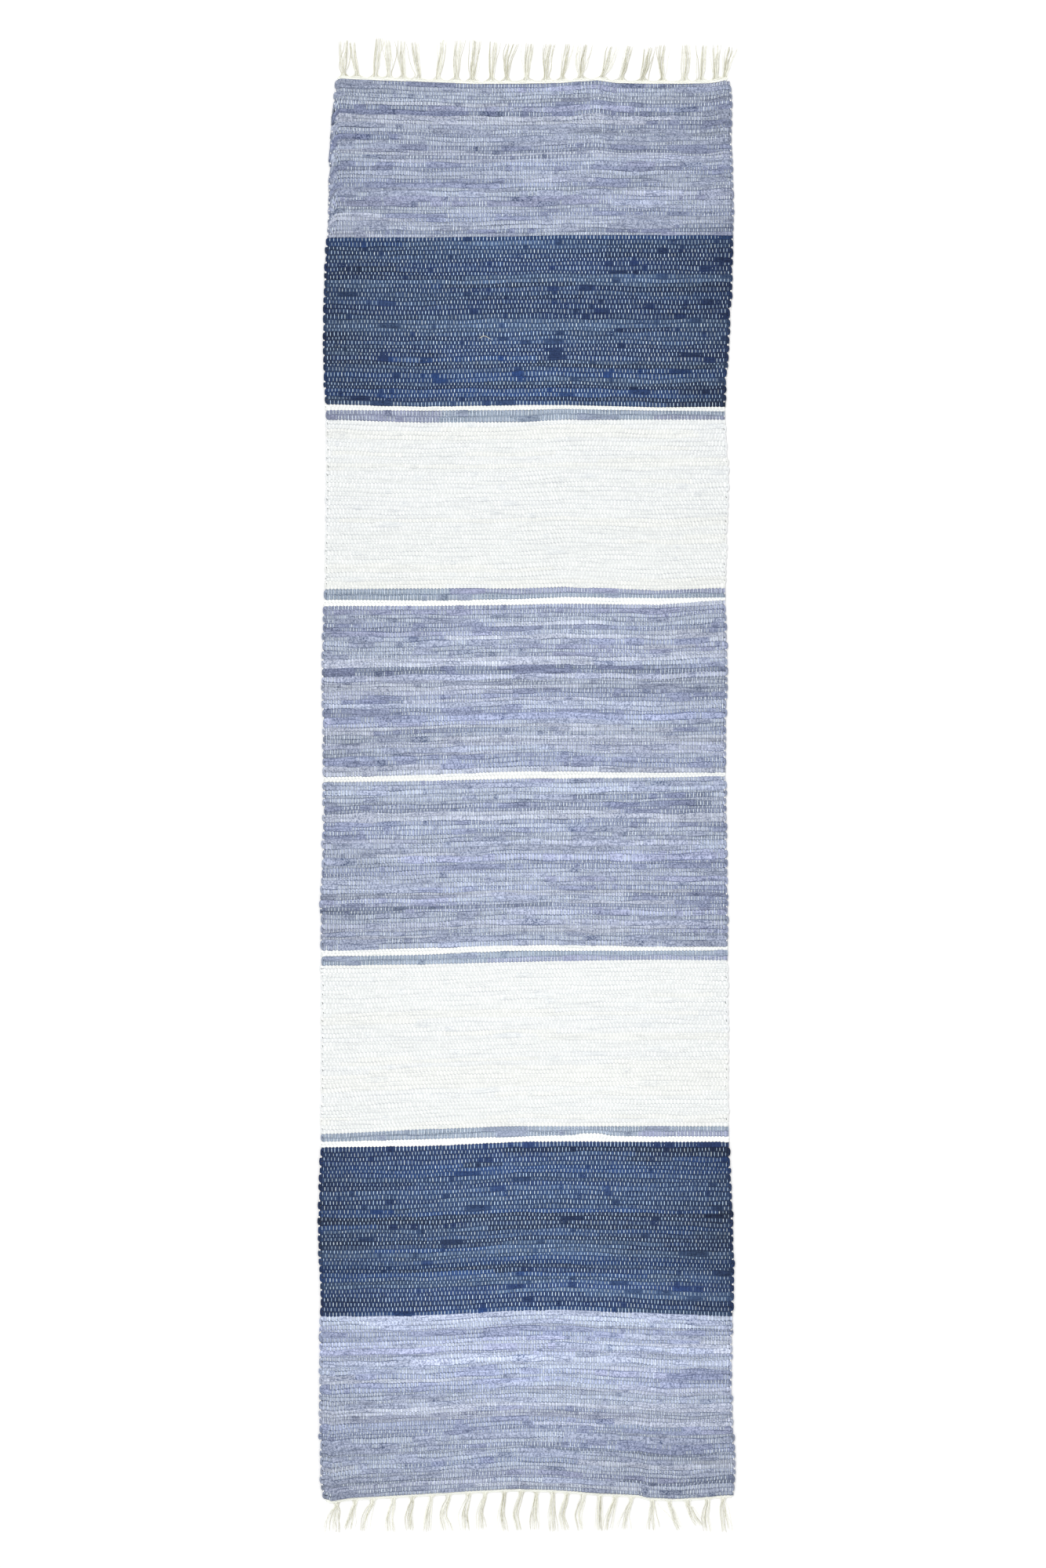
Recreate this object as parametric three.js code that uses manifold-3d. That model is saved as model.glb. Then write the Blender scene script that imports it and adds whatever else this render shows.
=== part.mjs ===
// A flatweave rag rug: a long runner of rag strips woven into a cotton warp, with a knotless
// lock fringe at both ends. It lies flat on the floor.
// Millimetres. +X runs across the rug, +Y along it towards the far fringe, +Z up.
// The origin is on the floor, under the middle of the rug with its fringes.

import * as THREE from "three";
import { mergeVertices } from "three/addons/utils/BufferGeometryUtils.js";
import Module from "manifold-3d";

const wasm = await Module();
wasm.setup();

// Driving sizes

const CLOTH_THICKNESS = 5; // pressed rag rows on the cotton warp
const SURFACE_SWELL = 0.4; // how much the rows rise and sink from place to place
const SWELL_LENGTH = 310; // from one slow rise to the next, along the rug
const SWELL_WIDTH = 205; // and across it
const SWELL_SLANT = 0.24; // the rises lie a little askew
const SELVEDGE_TURN = 1.6; // how far the rounded selvedge turns in at its top and foot
const CORNER_RADIUS = 11;
const PARTING = 0.3; // between the cloth and each heading

const HEADING_WIDTH = 5.6; // fine cotton rows past the last rag row
const HEADING_THICKNESS = 3;

const YARNS_PER_LOCK = 4; // each stands for two or three warp ends
const YARN_THICKNESS = 2.2;
const YARN_WIDTH = 1.5;
const YARN_SINK = 1.2; // how deep a yarn's root runs into the heading
const ROOT_SPREAD = 13; // the yarns of a lock leave the heading this far apart
const NECK_SPREAD = 6.6; // and draw together into a neck
const NECK_REACH = 8; // this far out
const NECK_DRIFT = 0.15; // how far the neck has moved from the root towards the lock's middle
const MIDDLE_SHARE = 0.55; // the middle lies at this share of the way out

// The grid of the cloth's surfaces

const CLOTH_ROWS = 60;
const CORNER_ROWS = 3;
const MEAN_LEFT = -345; // the selvedges on the whole
const MEAN_RIGHT = 352;
const PLACE_PASSES = 4;
const MERGE_DISTANCE = 1e-4;

// The selvedges, left and right of the middle line, at places along the rug

const SELVEDGES = [
  { y: 1222, left: -326, right: 350 },
  { y: 1175, left: -335, right: 354 },
  { y: 1098, left: -341, right: 353 },
  { y: 1017, left: -342, right: 357 },
  { y: 930, left: -346, right: 356 },
  { y: 850, left: -349, right: 354 },
  { y: 735, left: -351, right: 347 },
  { y: 650, left: -347, right: 342 },
  { y: 530, left: -346, right: 348 },
  { y: 328, left: -349, right: 343 },
  { y: 205, left: -353, right: 346 },
  { y: 80, left: -351, right: 343 },
  { y: -80, left: -351, right: 344 },
  { y: -160, left: -355, right: 346 },
  { y: -280, left: -355, right: 347 },
  { y: -440, left: -354, right: 348 },
  { y: -605, left: -355, right: 349 },
  { y: -685, left: -358, right: 353 },
  { y: -765, left: -359, right: 356 },
  { y: -850, left: -355, right: 357 },
  { y: -930, left: -357, right: 354 },
  { y: -1050, left: -357, right: 354 },
  { y: -1130, left: -356, right: 358 },
  { y: -1185, left: -354, right: 360 },
  { y: -1234, left: -345, right: 354 },
];

// Where the last rag row lies at the far and the near end, at places across the rug

const ENDS = [
  { x: -330, far: 1217, near: -1231 },
  { x: -310, far: 1214, near: -1226 },
  { x: -250, far: 1212, near: -1223 },
  { x: -180, far: 1209, near: -1219 },
  { x: -100, far: 1206, near: -1214 },
  { x: -20, far: 1206, near: -1210 },
  { x: 50, far: 1207, near: -1212 },
  { x: 120, far: 1212, near: -1217 },
  { x: 155, far: 1207, near: -1219 },
  { x: 195, far: 1206, near: -1221 },
  { x: 215, far: 1206, near: -1226 },
  { x: 270, far: 1206, near: -1227 },
  { x: 320, far: 1207, near: -1223 },
  { x: 340, far: 1212, near: -1221 },
];

// The locks of each fringe, from left to right: where the lock leaves the heading, where it
// lies half way out, where its tip lies, how far along the rug the tip reaches, and how wide
// the lock spreads half way out and at its tip

const FAR_LOCKS = [
  { root: -316, middle: -316, tip: -315, reach: 1281, body: 13, splay: 13 },
  { root: -291, middle: -299, tip: -301, reach: 1278, body: 9, splay: 9 },
  { root: -260, middle: -256, tip: -252, reach: 1285, body: 8, splay: 12 },
  { root: -237, middle: -237, tip: -240, reach: 1282, body: 9, splay: 8 },
  { root: -212, middle: -216, tip: -215, reach: 1282, body: 8, splay: 8 },
  { root: -185, middle: -192, tip: -195, reach: 1278, body: 8, splay: 9 },
  { root: -153, middle: -148, tip: -146, reach: 1282, body: 8, splay: 11 },
  { root: -121, middle: -119, tip: -114, reach: 1281, body: 9, splay: 11 },
  { root: -93, middle: -91, tip: -88, reach: 1282, body: 11, splay: 11 },
  { root: -60, middle: -58, tip: -55, reach: 1279, body: 9, splay: 10 },
  { root: -34, middle: -33, tip: -24, reach: 1275, body: 10, splay: 12 },
  { root: -1, middle: 0, tip: 3, reach: 1277, body: 9, splay: 8 },
  { root: 33, middle: 36, tip: 41, reach: 1275, body: 9, splay: 9 },
  { root: 61, middle: 68, tip: 73, reach: 1275, body: 9, splay: 11 },
  { root: 92, middle: 94, tip: 100, reach: 1274, body: 13, splay: 12 },
  { root: 130, middle: 142, tip: 148, reach: 1271, body: 12, splay: 11 },
  { root: 163, middle: 171, tip: 177, reach: 1273, body: 8, splay: 9 },
  { root: 199, middle: 207, tip: 212, reach: 1270, body: 8, splay: 10 },
  { root: 234, middle: 234, tip: 238, reach: 1274, body: 10, splay: 13 },
  { root: 271, middle: 275, tip: 275, reach: 1274, body: 9, splay: 9 },
  { root: 300, middle: 303, tip: 305, reach: 1273, body: 8, splay: 10 },
  { root: 326, middle: 326, tip: 326, reach: 1273, body: 8, splay: 12 },
  { root: 341, middle: 345, tip: 351, reach: 1270, body: 9, splay: 12 },
];

const NEAR_LOCKS = [
  { root: -326, middle: -333, tip: -333, reach: -1284, body: 15, splay: 15 },
  { root: -294, middle: -302, tip: -307, reach: -1281, body: 9, splay: 12 },
  { root: -263, middle: -276, tip: -279, reach: -1282, body: 8, splay: 8 },
  { root: -229, middle: -237, tip: -235, reach: -1284, body: 9, splay: 9 },
  { root: -196, middle: -202, tip: -199, reach: -1282, body: 9, splay: 8 },
  { root: -163, middle: -170, tip: -173, reach: -1284, body: 8, splay: 8 },
  { root: -133, middle: -144, tip: -137, reach: -1282, body: 9, splay: 12 },
  { root: -99, middle: -108, tip: -105, reach: -1282, body: 9, splay: 8 },
  { root: -70, middle: -80, tip: -78, reach: -1281, body: 9, splay: 11 },
  { root: -38, middle: -43, tip: -38, reach: -1284, body: 8, splay: 8 },
  { root: -9, middle: -20, tip: -14, reach: -1281, body: 8, splay: 8 },
  { root: 17, middle: 13, tip: 15, reach: -1282, body: 9, splay: 8 },
  { root: 45, middle: 43, tip: 45, reach: -1284, body: 8, splay: 8 },
  { root: 70, middle: 61, tip: 68, reach: -1281, body: 8, splay: 8 },
  { root: 98, middle: 89, tip: 95, reach: -1281, body: 8, splay: 8 },
  { root: 126, middle: 125, tip: 126, reach: -1282, body: 8, splay: 8 },
  { root: 153, middle: 144, tip: 140, reach: -1281, body: 8, splay: 8 },
  { root: 181, middle: 171, tip: 170, reach: -1281, body: 9, splay: 17 },
  { root: 216, middle: 215, tip: 216, reach: -1281, body: 8, splay: 11 },
  { root: 245, middle: 254, tip: 262, reach: -1281, body: 8, splay: 8 },
  { root: 276, middle: 286, tip: 297, reach: -1273, body: 9, splay: 10 },
  { root: 312, middle: 308, tip: 312, reach: -1284, body: 8, splay: 8 },
  { root: 338, middle: 340, tip: 343, reach: -1284, body: 11, splay: 11 },
];

// A smooth run through one column of a table, by place in another column

function follow(table, place, column) {
  const rows = [...table].sort((a, b) => a[place] - b[place]);
  const slope = (i) => {
    const before = rows[Math.max(i - 1, 0)];
    const after = rows[Math.min(i + 1, rows.length - 1)];
    return (after[column] - before[column]) / (after[place] - before[place]);
  };
  return (at) => {
    const last = rows.length - 2;
    const found = rows.findIndex((row) => row[place] > at) - 1;
    const i = at >= rows[last + 1][place] ? last : Math.max(found, 0);
    const step = rows[i + 1][place] - rows[i][place];
    const t = THREE.MathUtils.clamp((at - rows[i][place]) / step, 0, 1);
    const rise = t * t * (3 - 2 * t);
    return rows[i][column] * (1 - rise) + rows[i + 1][column] * rise
      + slope(i) * step * t * (1 - t) * (1 - t)
      - slope(i + 1) * step * t * t * (1 - t);
  };
}

const leftSelvedge = follow(SELVEDGES, "y", "left");
const rightSelvedge = follow(SELVEDGES, "y", "right");
const farEnd = follow(ENDS, "x", "far");
const nearEnd = follow(ENDS, "x", "near");

// How far a rounded corner draws the selvedge in, at a distance from the end of the cloth

function cornerInset(fromEnd) {
  if (fromEnd >= CORNER_RADIUS) return 0;
  const rise = CORNER_RADIUS - fromEnd;
  return CORNER_RADIUS - Math.sqrt(CORNER_RADIUS ** 2 - rise ** 2);
}

// The grid's columns run along the rug through the places of the ENDS table

const COLUMN_SHARES = [0, ...ENDS.map((end) => (end.x - MEAN_LEFT) / (MEAN_RIGHT - MEAN_LEFT)), 1];

// Its rows lie closer together at the rounded corners

function rowShare(row) {
  const cornerShare = CORNER_RADIUS / (SELVEDGES[0].y - SELVEDGES.at(-1).y);
  const eased = (k) => cornerShare * (1 - Math.cos((k / CORNER_ROWS) * Math.PI / 2));
  if (row <= CORNER_ROWS) return eased(row);
  if (row >= CLOTH_ROWS - CORNER_ROWS) return 1 - eased(CLOTH_ROWS - row);
  const middle = (row - CORNER_ROWS) / (CLOTH_ROWS - 2 * CORNER_ROWS);
  return cornerShare + middle * (1 - 2 * cornerShare);
}

// A place on the cloth, by its shares of the width and the length. The ends bow with x and the
// selvedges wander with y, so the place is found in a few passes.

function clothPlace(across, along, turn) {
  const place = new THREE.Vector2(THREE.MathUtils.lerp(MEAN_LEFT, MEAN_RIGHT, across), 0);
  for (let pass = 0; pass < PLACE_PASSES; pass += 1) {
    const length = farEnd(place.x) - nearEnd(place.x);
    const inset = turn + cornerInset(Math.min(along, 1 - along) * length);
    place.y = nearEnd(place.x) + along * length;
    place.x = THREE.MathUtils.lerp(
      leftSelvedge(place.y) + inset,
      rightSelvedge(place.y) - inset,
      across,
    );
  }
  return place;
}

// The slow unevenness of the upper side

function swell(x, y) {
  const along = Math.sin((2 * Math.PI * (y + SWELL_SLANT * x)) / SWELL_LENGTH);
  const across = Math.cos((2 * Math.PI * (x - SWELL_SLANT * y)) / SWELL_WIDTH);
  return SURFACE_SWELL * along * across;
}

// The cloth: a flat sheet between its wavy selvedges and bowed ends, its selvedges rounded
// where the rag strips turn back, its underside flat on the floor

function makeCloth() {
  const columns = COLUMN_SHARES.length - 1;
  const geometry = new THREE.BoxGeometry(1, 1, 1, columns, CLOTH_ROWS, 2);
  const position = geometry.attributes.position;
  for (let i = 0; i < position.count; i += 1) {
    const across = COLUMN_SHARES[Math.round((position.getX(i) + 0.5) * columns)];
    const along = rowShare(Math.round((position.getY(i) + 0.5) * CLOTH_ROWS));
    const up = position.getZ(i) + 0.5;
    const place = clothPlace(across, along, up === 0.5 ? 0 : SELVEDGE_TURN);
    position.setXYZ(i, place.x, place.y, up * (CLOTH_THICKNESS + swell(place.x, place.y)));
  }
  return geometry;
}

// A closed body for joining, from any closed geometry

function toSolid(geometry) {
  const bare = geometry.clone();
  bare.deleteAttribute("normal");
  bare.deleteAttribute("uv");
  const merged = mergeVertices(bare, MERGE_DISTANCE);
  return new wasm.Manifold(new wasm.Mesh({
    numProp: 3,
    vertProperties: Float32Array.from(merged.attributes.position.array),
    triVerts: Uint32Array.from(merged.index.array),
  }));
}

function fromSolid(solid) {
  const mesh = solid.getMesh();
  const geometry = new THREE.BufferGeometry();
  geometry.setAttribute("position", new THREE.BufferAttribute(mesh.vertProperties, 3));
  geometry.setIndex(new THREE.BufferAttribute(mesh.triVerts, 1));
  geometry.computeVertexNormals();
  return geometry;
}

// A flat ribbon in plan through the given middle points, standing up from the floor

function makeRibbon(points, width, height) {
  const left = [];
  const right = [];
  points.forEach((point, i) => {
    const before = points[Math.max(i - 1, 0)];
    const after = points[Math.min(i + 1, points.length - 1)];
    const side = new THREE.Vector2(before.y - after.y, after.x - before.x).setLength(width / 2);
    left.push(point.clone().add(side));
    right.unshift(point.clone().sub(side));
  });
  const outline = new THREE.Shape([...left, ...right]);
  return new THREE.ExtrudeGeometry(outline, { depth: height, bevelEnabled: false });
}

// The heading: a strip that follows the cloth's end, parted from it. Its line is where the
// cloth ends, moved out by the parting, without the rounded corners.

function headingLine(outward) {
  const along = outward > 0 ? 1 : 0;
  const shares = COLUMN_SHARES.slice(1, -1);
  return shares.map((across) => {
    const place = clothPlace(across, along, 0);
    return place.setY(place.y + outward * PARTING);
  });
}

function makeHeading(line, outward) {
  const outer = line.map((point) => new THREE.Vector2(point.x, point.y + outward * HEADING_WIDTH));
  const outline = new THREE.Shape([...line, ...outer.reverse()]);
  return new THREE.ExtrudeGeometry(outline, { depth: HEADING_THICKNESS, bevelEnabled: false });
}

// Where a straight-stepped line lies at a place across the rug

function lineAt(line, x) {
  const next = Math.max(line.findIndex((point) => point.x >= x), 1);
  const a = line[next - 1];
  const b = line[next];
  return THREE.MathUtils.mapLinear(x, a.x, b.x, a.y, b.y);
}

// One yarn of a lock, lying level on the floor: from its root in the heading through the
// lock's neck to its tip

function makeYarn(lock, place, line, outward) {
  const first = line[0].x + YARN_WIDTH;
  const last = line.at(-1).x - YARN_WIDTH;
  const rootX = THREE.MathUtils.clamp(lock.root + place * ROOT_SPREAD, first, last);
  const edgeY = lineAt(line, rootX) + outward * HEADING_WIDTH;
  const neckX = THREE.MathUtils.lerp(lock.root, lock.middle, NECK_DRIFT) + place * NECK_SPREAD;
  const middleY = THREE.MathUtils.lerp(edgeY, lock.reach, MIDDLE_SHARE);
  const points = [
    new THREE.Vector2(rootX, edgeY - outward * YARN_SINK),
    new THREE.Vector2(neckX, edgeY + outward * NECK_REACH),
    new THREE.Vector2(lock.middle + place * lock.body, middleY),
    new THREE.Vector2(lock.tip + place * lock.splay, lock.reach),
  ];
  return makeRibbon(points, YARN_WIDTH, YARN_THICKNESS);
}

function makeFringe(locks, outward) {
  const line = headingLine(outward);
  let fringe = toSolid(makeHeading(line, outward));
  for (const lock of locks) {
    for (let i = 0; i < YARNS_PER_LOCK; i += 1) {
      const place = i / (YARNS_PER_LOCK - 1) - 0.5;
      fringe = fringe.add(toSolid(makeYarn(lock, place, line, outward)));
    }
  }
  return fromSolid(fringe);
}

// The rug

const ragMaterial = new THREE.MeshStandardMaterial({
  name: "rag",
  color: 0x6f7ba6,
  roughness: 0.92,
  metalness: 0,
});

const cottonMaterial = new THREE.MeshStandardMaterial({
  name: "cotton",
  color: 0xe9e4d2,
  roughness: 0.88,
  metalness: 0,
});

function addPiece(group, name, geometry, material) {
  const mesh = new THREE.Mesh(geometry, material);
  mesh.name = name;
  group.add(mesh);
}

const rug = new THREE.Group();
rug.name = "flatweave_rug";
addPiece(rug, "cloth", makeCloth(), ragMaterial);
addPiece(rug, "fringe_far", makeFringe(FAR_LOCKS, 1), cottonMaterial);
addPiece(rug, "fringe_near", makeFringe(NEAR_LOCKS, -1), cottonMaterial);

export default rug;
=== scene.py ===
# %% [markdown]
# A flatweave rag rug, built the way a weaver makes it. Rag strips (the weft) run to and fro
# between cotton warp yarns. Each strip turns back at the selvedge, and the warp shows as short
# pale floats over every second place in each row. Past the last rag row a few fine cotton rows
# hold the cloth, and the warp ends are gathered there into locks.
#
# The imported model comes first. It is the fixed frame: every piece below takes its place from it.

# %% The frame
import math
import random

import bpy
import numpy as np
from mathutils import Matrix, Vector


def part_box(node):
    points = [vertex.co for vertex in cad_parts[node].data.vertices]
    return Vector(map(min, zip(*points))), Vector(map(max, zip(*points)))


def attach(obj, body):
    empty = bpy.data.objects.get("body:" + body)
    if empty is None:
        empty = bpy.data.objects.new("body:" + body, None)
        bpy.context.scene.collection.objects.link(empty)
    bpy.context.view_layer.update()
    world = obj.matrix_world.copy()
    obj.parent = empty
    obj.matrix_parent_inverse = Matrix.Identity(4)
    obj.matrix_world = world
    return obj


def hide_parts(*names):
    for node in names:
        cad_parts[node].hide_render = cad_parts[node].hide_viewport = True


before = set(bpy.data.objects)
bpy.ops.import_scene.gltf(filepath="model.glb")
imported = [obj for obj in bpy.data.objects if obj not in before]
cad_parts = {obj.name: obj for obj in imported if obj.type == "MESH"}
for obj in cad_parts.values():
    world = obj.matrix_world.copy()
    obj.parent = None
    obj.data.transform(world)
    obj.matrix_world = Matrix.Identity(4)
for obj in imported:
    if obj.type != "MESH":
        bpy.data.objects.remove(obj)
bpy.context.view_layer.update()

MM = 0.001
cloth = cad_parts["cloth"]

# %% [markdown]
# The photograph looks straight down on the rug from far away, so a long lens stands high above
# it. The picture is 2000 pixels tall and one pixel is 1.349 mm on the floor. That gives the
# height of the view, and with the camera's height it gives the lens. The rug's middle lies a
# few pixels off the picture's middle, so the camera stands that far off too.

# %% The camera
PIXEL = 1.349 * MM
PICTURE = (1334, 2000)
RUG_MIDDLE = (671.5, 1001.5)  # in the picture
CAMERA_HEIGHT = 12.0
SENSOR = 36.0

lens = bpy.data.cameras.new("long_lens")
lens.sensor_width = SENSOR
lens.lens = SENSOR * CAMERA_HEIGHT / (PICTURE[1] * PIXEL)
lens.clip_end = 200.0
camera = bpy.data.objects.new("camera", lens)
camera.location = (
    (PICTURE[0] / 2 - RUG_MIDDLE[0]) * PIXEL,
    (RUG_MIDDLE[1] - PICTURE[1] / 2) * PIXEL,
    CAMERA_HEIGHT,
)
bpy.context.scene.collection.objects.link(camera)
bpy.context.scene.camera = camera
print("lens", round(lens.lens, 1), "mm")

# %% [markdown]
# The rug lies on a plain pale floor in soft light. The floor is a wide disc, so that it also
# fills the views from the side. The sky gives most of the light, and one large soft lamp gives
# the rows a light and a shaded side. Plain view colours keep the dyes as they are mixed here.

# %% The floor and the light
FLOOR_RADIUS = 60.0
FLOOR_COLOUR = (0.97, 0.97, 0.97, 1.0)
SKY_LIGHT = 0.86
LAMP_PLACE = Vector((-5.0, 8.0, 14.0))
LAMP_SIZE = 6.0
LAMP_POWER = 900.0


def plain_material(name, colour, roughness):
    """A simple material for what isn't part of the rug."""
    material = bpy.data.materials.new(name)
    material.use_nodes = True
    shader = material.node_tree.nodes["Principled BSDF"]
    shader.inputs["Base Color"].default_value = colour
    shader.inputs["Roughness"].default_value = roughness
    return material


def make_floor():
    """A wide disc just under the rug."""
    steps = 96
    corners = [
        (FLOOR_RADIUS * math.cos(a), FLOOR_RADIUS * math.sin(a), 0.0)
        for a in (2 * math.pi * i / steps for i in range(steps))
    ]
    mesh = bpy.data.meshes.new("floor")
    mesh.from_pydata(corners, [], [list(range(steps))])
    mesh.materials.append(plain_material("floor_paint", FLOOR_COLOUR, 0.9))
    floor = bpy.data.objects.new("floor", mesh)
    bpy.context.scene.collection.objects.link(floor)
    return floor


def make_light():
    """An even sky and one large soft lamp."""
    world = bpy.data.worlds.new("studio")
    world.use_nodes = True
    sky = world.node_tree.nodes["Background"]
    sky.inputs["Color"].default_value = (1.0, 1.0, 1.0, 1.0)
    sky.inputs["Strength"].default_value = SKY_LIGHT
    bpy.context.scene.world = world
    light = bpy.data.lights.new("soft_lamp", "AREA")
    light.shape = "DISK"
    light.size = LAMP_SIZE
    light.energy = LAMP_POWER
    lamp = bpy.data.objects.new("soft_lamp", light)
    lamp.location = LAMP_PLACE
    lamp.rotation_mode = "QUATERNION"
    lamp.rotation_quaternion = (-LAMP_PLACE).to_track_quat("-Z", "Y")
    bpy.context.scene.collection.objects.link(lamp)


make_floor()
make_light()
bpy.context.scene.view_settings.view_transform = "Standard"

# %% [markdown]
# Where do the rows run? The solid cloth knows its own outline, so short rays are shot at it
# from the sides and from the ends. This way the woven rows always fill the solid, also when
# its outline is changed. The places of the colour changes come from a short table instead,
# read off the photograph at six places across the rug, in millimetres.

# %% The outline of the cloth
MID_HEIGHT = 2.5 * MM
OUTLINE_STEPS = 400


def edge_of_cloth(start, direction):
    """Where a ray first meets the solid cloth, or None."""
    met, place, _, _ = cloth.ray_cast(Vector(start), Vector(direction))
    return place if met else None


def outline(low, high, ray):
    """The places along one side of the cloth, with how far the cloth reaches there."""
    tried = [(at, ray(at)) for at in np.linspace(low, high, OUTLINE_STEPS)]
    found = [(at, place) for at, place in tried if place is not None]
    return np.array([at for at, _ in found]), [place for _, place in found]


cloth_low, cloth_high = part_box("cloth")
side_ys, left_places = outline(
    cloth_low.y, cloth_high.y, lambda y: edge_of_cloth((-1, y, MID_HEIGHT), (1, 0, 0))
)
_, right_places = outline(
    cloth_low.y, cloth_high.y, lambda y: edge_of_cloth((1, y, MID_HEIGHT), (-1, 0, 0))
)
end_xs, far_places = outline(
    cloth_low.x, cloth_high.x, lambda x: edge_of_cloth((x, 2, MID_HEIGHT), (0, -1, 0))
)
_, near_places = outline(
    cloth_low.x, cloth_high.x, lambda x: edge_of_cloth((x, -2, MID_HEIGHT), (0, 1, 0))
)

# %% The outline at any place
def left_selvedge(y):
    """The x of the left edge of the cloth at y."""
    return np.interp(y, side_ys, [place.x for place in left_places])


def right_selvedge(y):
    """The x of its right edge at y."""
    return np.interp(y, side_ys, [place.x for place in right_places])


CORNER_SHARE = 0.02  # the rows run on straight through the rounded corners


def kept_from_corners(x):
    """x held a little inside the rug's width, where its ends aren't rounded."""
    width = end_xs[-1] - end_xs[0]
    return np.clip(x, end_xs[0] + CORNER_SHARE * width, end_xs[-1] - CORNER_SHARE * width)


def far_end(x):
    """The y of the far end of the cloth at x."""
    return np.interp(kept_from_corners(x), end_xs, [place.y for place in far_places])


def near_end(x):
    """The y of its near end at x."""
    return np.interp(kept_from_corners(x), end_xs, [place.y for place in near_places])


print("width in the middle", round(float(right_selvedge(0) - left_selvedge(0)), 4))

# %% [markdown]
# The bands, from the far end to the near one. Each has the piece of the model that it belongs
# to, its dye, its number of rows, and where it ends at six places across. The white lines are
# two thin rows, the narrow stripes are two thick ones, and the wide bands have about forty.
# tone and next_tone say how light the rags are where the band begins and where it ends: 0.5
# leaves the dye as it is mixed below, and 0.6 is a tenth lighter.

# %% The table of bands
ACROSS = np.array((-332, -177, -15, 65, 227, 335)) * MM
COLUMNS = ("piece", "dye", "rows", "tone", "next_tone", "ends")
BANDS = [
    dict(zip(COLUMNS, row))
    for row in (
        ("lavender_far", "lavender", 38, 0.55, 0.66, (942, 942, 944, 946, 946, 946)),
        ("navy_far", "navy", 40, 0.49, 0.49, (655, 651, 654, 654, 650, 651)),
        ("white_far", "white", 2, 0.595, 0.595, (645, 644, 645, 647, 644, 643)),
        ("white_far", "stripe", 2, 0.41, 0.41, (629, 624, 625, 629, 629, 629)),
        ("white_far", "white", 40, 0.51, 0.51, (337, 338, 338, 341, 335, 339)),
        ("lavender_upper", "stripe", 2, 0.55, 0.55, (319, 318, 320, 324, 322, 323)),
        ("lavender_upper", "white", 2, 0.69, 0.69, (308, 308, 310, 312, 310, 318)),
        ("lavender_upper", "lavender", 40, 0.65, 0.74, (14, 18, 24, 24, 22, 22)),
        ("lavender_lower", "white", 2, 0.61, 0.61, (5, 7, 11, 11, 13, 15)),
        ("lavender_lower", "lavender", 40, 0.76, 0.65, (-284, -280, -275, -275, -277, -277)),
        ("white_near", "white", 2, 0.63, 0.63, (-295, -292, -285, -285, -285, -284)),
        ("white_near", "stripe", 2, 0.65, 0.65, (-310, -308, -304, -302, -300, -301)),
        ("white_near", "white", 40, 0.56, 0.56, (-600, -592, -587, -587, -587, -587)),
        ("navy_near", "stripe", 2, 0.63, 0.63, (-613, -609, -604, -602, -604, -604)),
        ("navy_near", "white", 2, 0.73, 0.73, (-623, -621, -614, -613, -614, -614)),
        ("navy_near", "navy", 40, 0.67, 0.75, (-914, -913, -904, -903, -909, -913)),
        ("lavender_near", "lavender", 44, 1.00, 0.58, None),
    )
]
ROWS = sum(band["rows"] for band in BANDS)
print(len(BANDS), "bands,", ROWS, "rows")

# %% [markdown]
# No two rows are beaten in alike. A row's share of its band is drawn at random with a fixed
# seed, and the line between two rows wanders slowly. The wander is a sum of a few waves, the
# same each run, and it dies out where a band ends, so that the colour changes stay in place.

# %% The height of each row
SEED = 7
THINNEST = 0.6  # the least height of a row, as a share of the mean
ROW_UNEVENNESS = {"lavender": 0.19, "navy": 0.12, "stripe": 0.06, "white": 0.10}
WANDER = 1.1 * MM
WAVES = [  # length across the rug in metres, and turns from one row to the next
    (0.43, 0.061),
    (0.27, -0.087),
    (0.171, 0.139),
    (0.113, -0.211),
    (0.071, 0.317),
]


def wander(x, line):
    """How far the line between two rows strays at x."""
    total = 0.0
    for i, (length, drift) in enumerate(WAVES):
        total = total + np.sin(2 * math.pi * (x / length + drift * line) + 1.7 * i)
    return WANDER * total / math.sqrt(len(WAVES))


def lay_out_rows():
    """For each row: its band, and its band's share where it begins and where it ends."""
    dice = random.Random(SEED)
    rows = []
    for index, band in enumerate(BANDS):
        uneven = ROW_UNEVENNESS[band["dye"]]
        heights = [max(THINNEST, dice.gauss(1.0, uneven)) for _ in range(band["rows"])]
        place = np.concatenate([[0.0], np.cumsum(heights)]) / sum(heights)
        for i in range(band["rows"]):
            rows.append(
                {"band": index, "begins": place[i], "ends": place[i + 1], "height": heights[i]}
            )
    return rows


WEAVE = lay_out_rows()
band_starts = [[row["band"] for row in WEAVE].index(i) for i in range(len(BANDS))]

# %% Where each row lies
# The white line after this band has one thick place, measured in millimetres.
SWELL = {"band": 13, "low": 88, "high": 136, "height": 4, "ramp": 4}
CALM_ENDS = 20  # how soon the wander dies out towards the ends of a band


def end_of_band(index, x):
    """Where a band ends at x. The thick place pushes the end of the stripe beside it back."""
    end = np.interp(x, ACROSS, BANDS[index]["ends"]) * MM
    if index == SWELL["band"]:
        low = (x - SWELL["low"] * MM) / (SWELL["ramp"] * MM)
        high = (SWELL["high"] * MM - x) / (SWELL["ramp"] * MM)
        end = end + SWELL["height"] * MM / (1 + np.exp(-low)) / (1 + np.exp(-high))
    return end


def band_edges(index, x):
    """Where a band begins and ends at x."""
    begin = far_end(x) if index == 0 else end_of_band(index - 1, x)
    end = near_end(x) if BANDS[index]["ends"] is None else end_of_band(index, x)
    return begin, end


def line_between(index, share, line, x):
    """The y of the line that lies at this share of a band."""
    begin, end = band_edges(index, x)
    calm = min(1.0, CALM_ENDS * share * (1 - share))
    return begin + (end - begin) * share + wander(x, line) * calm


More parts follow.
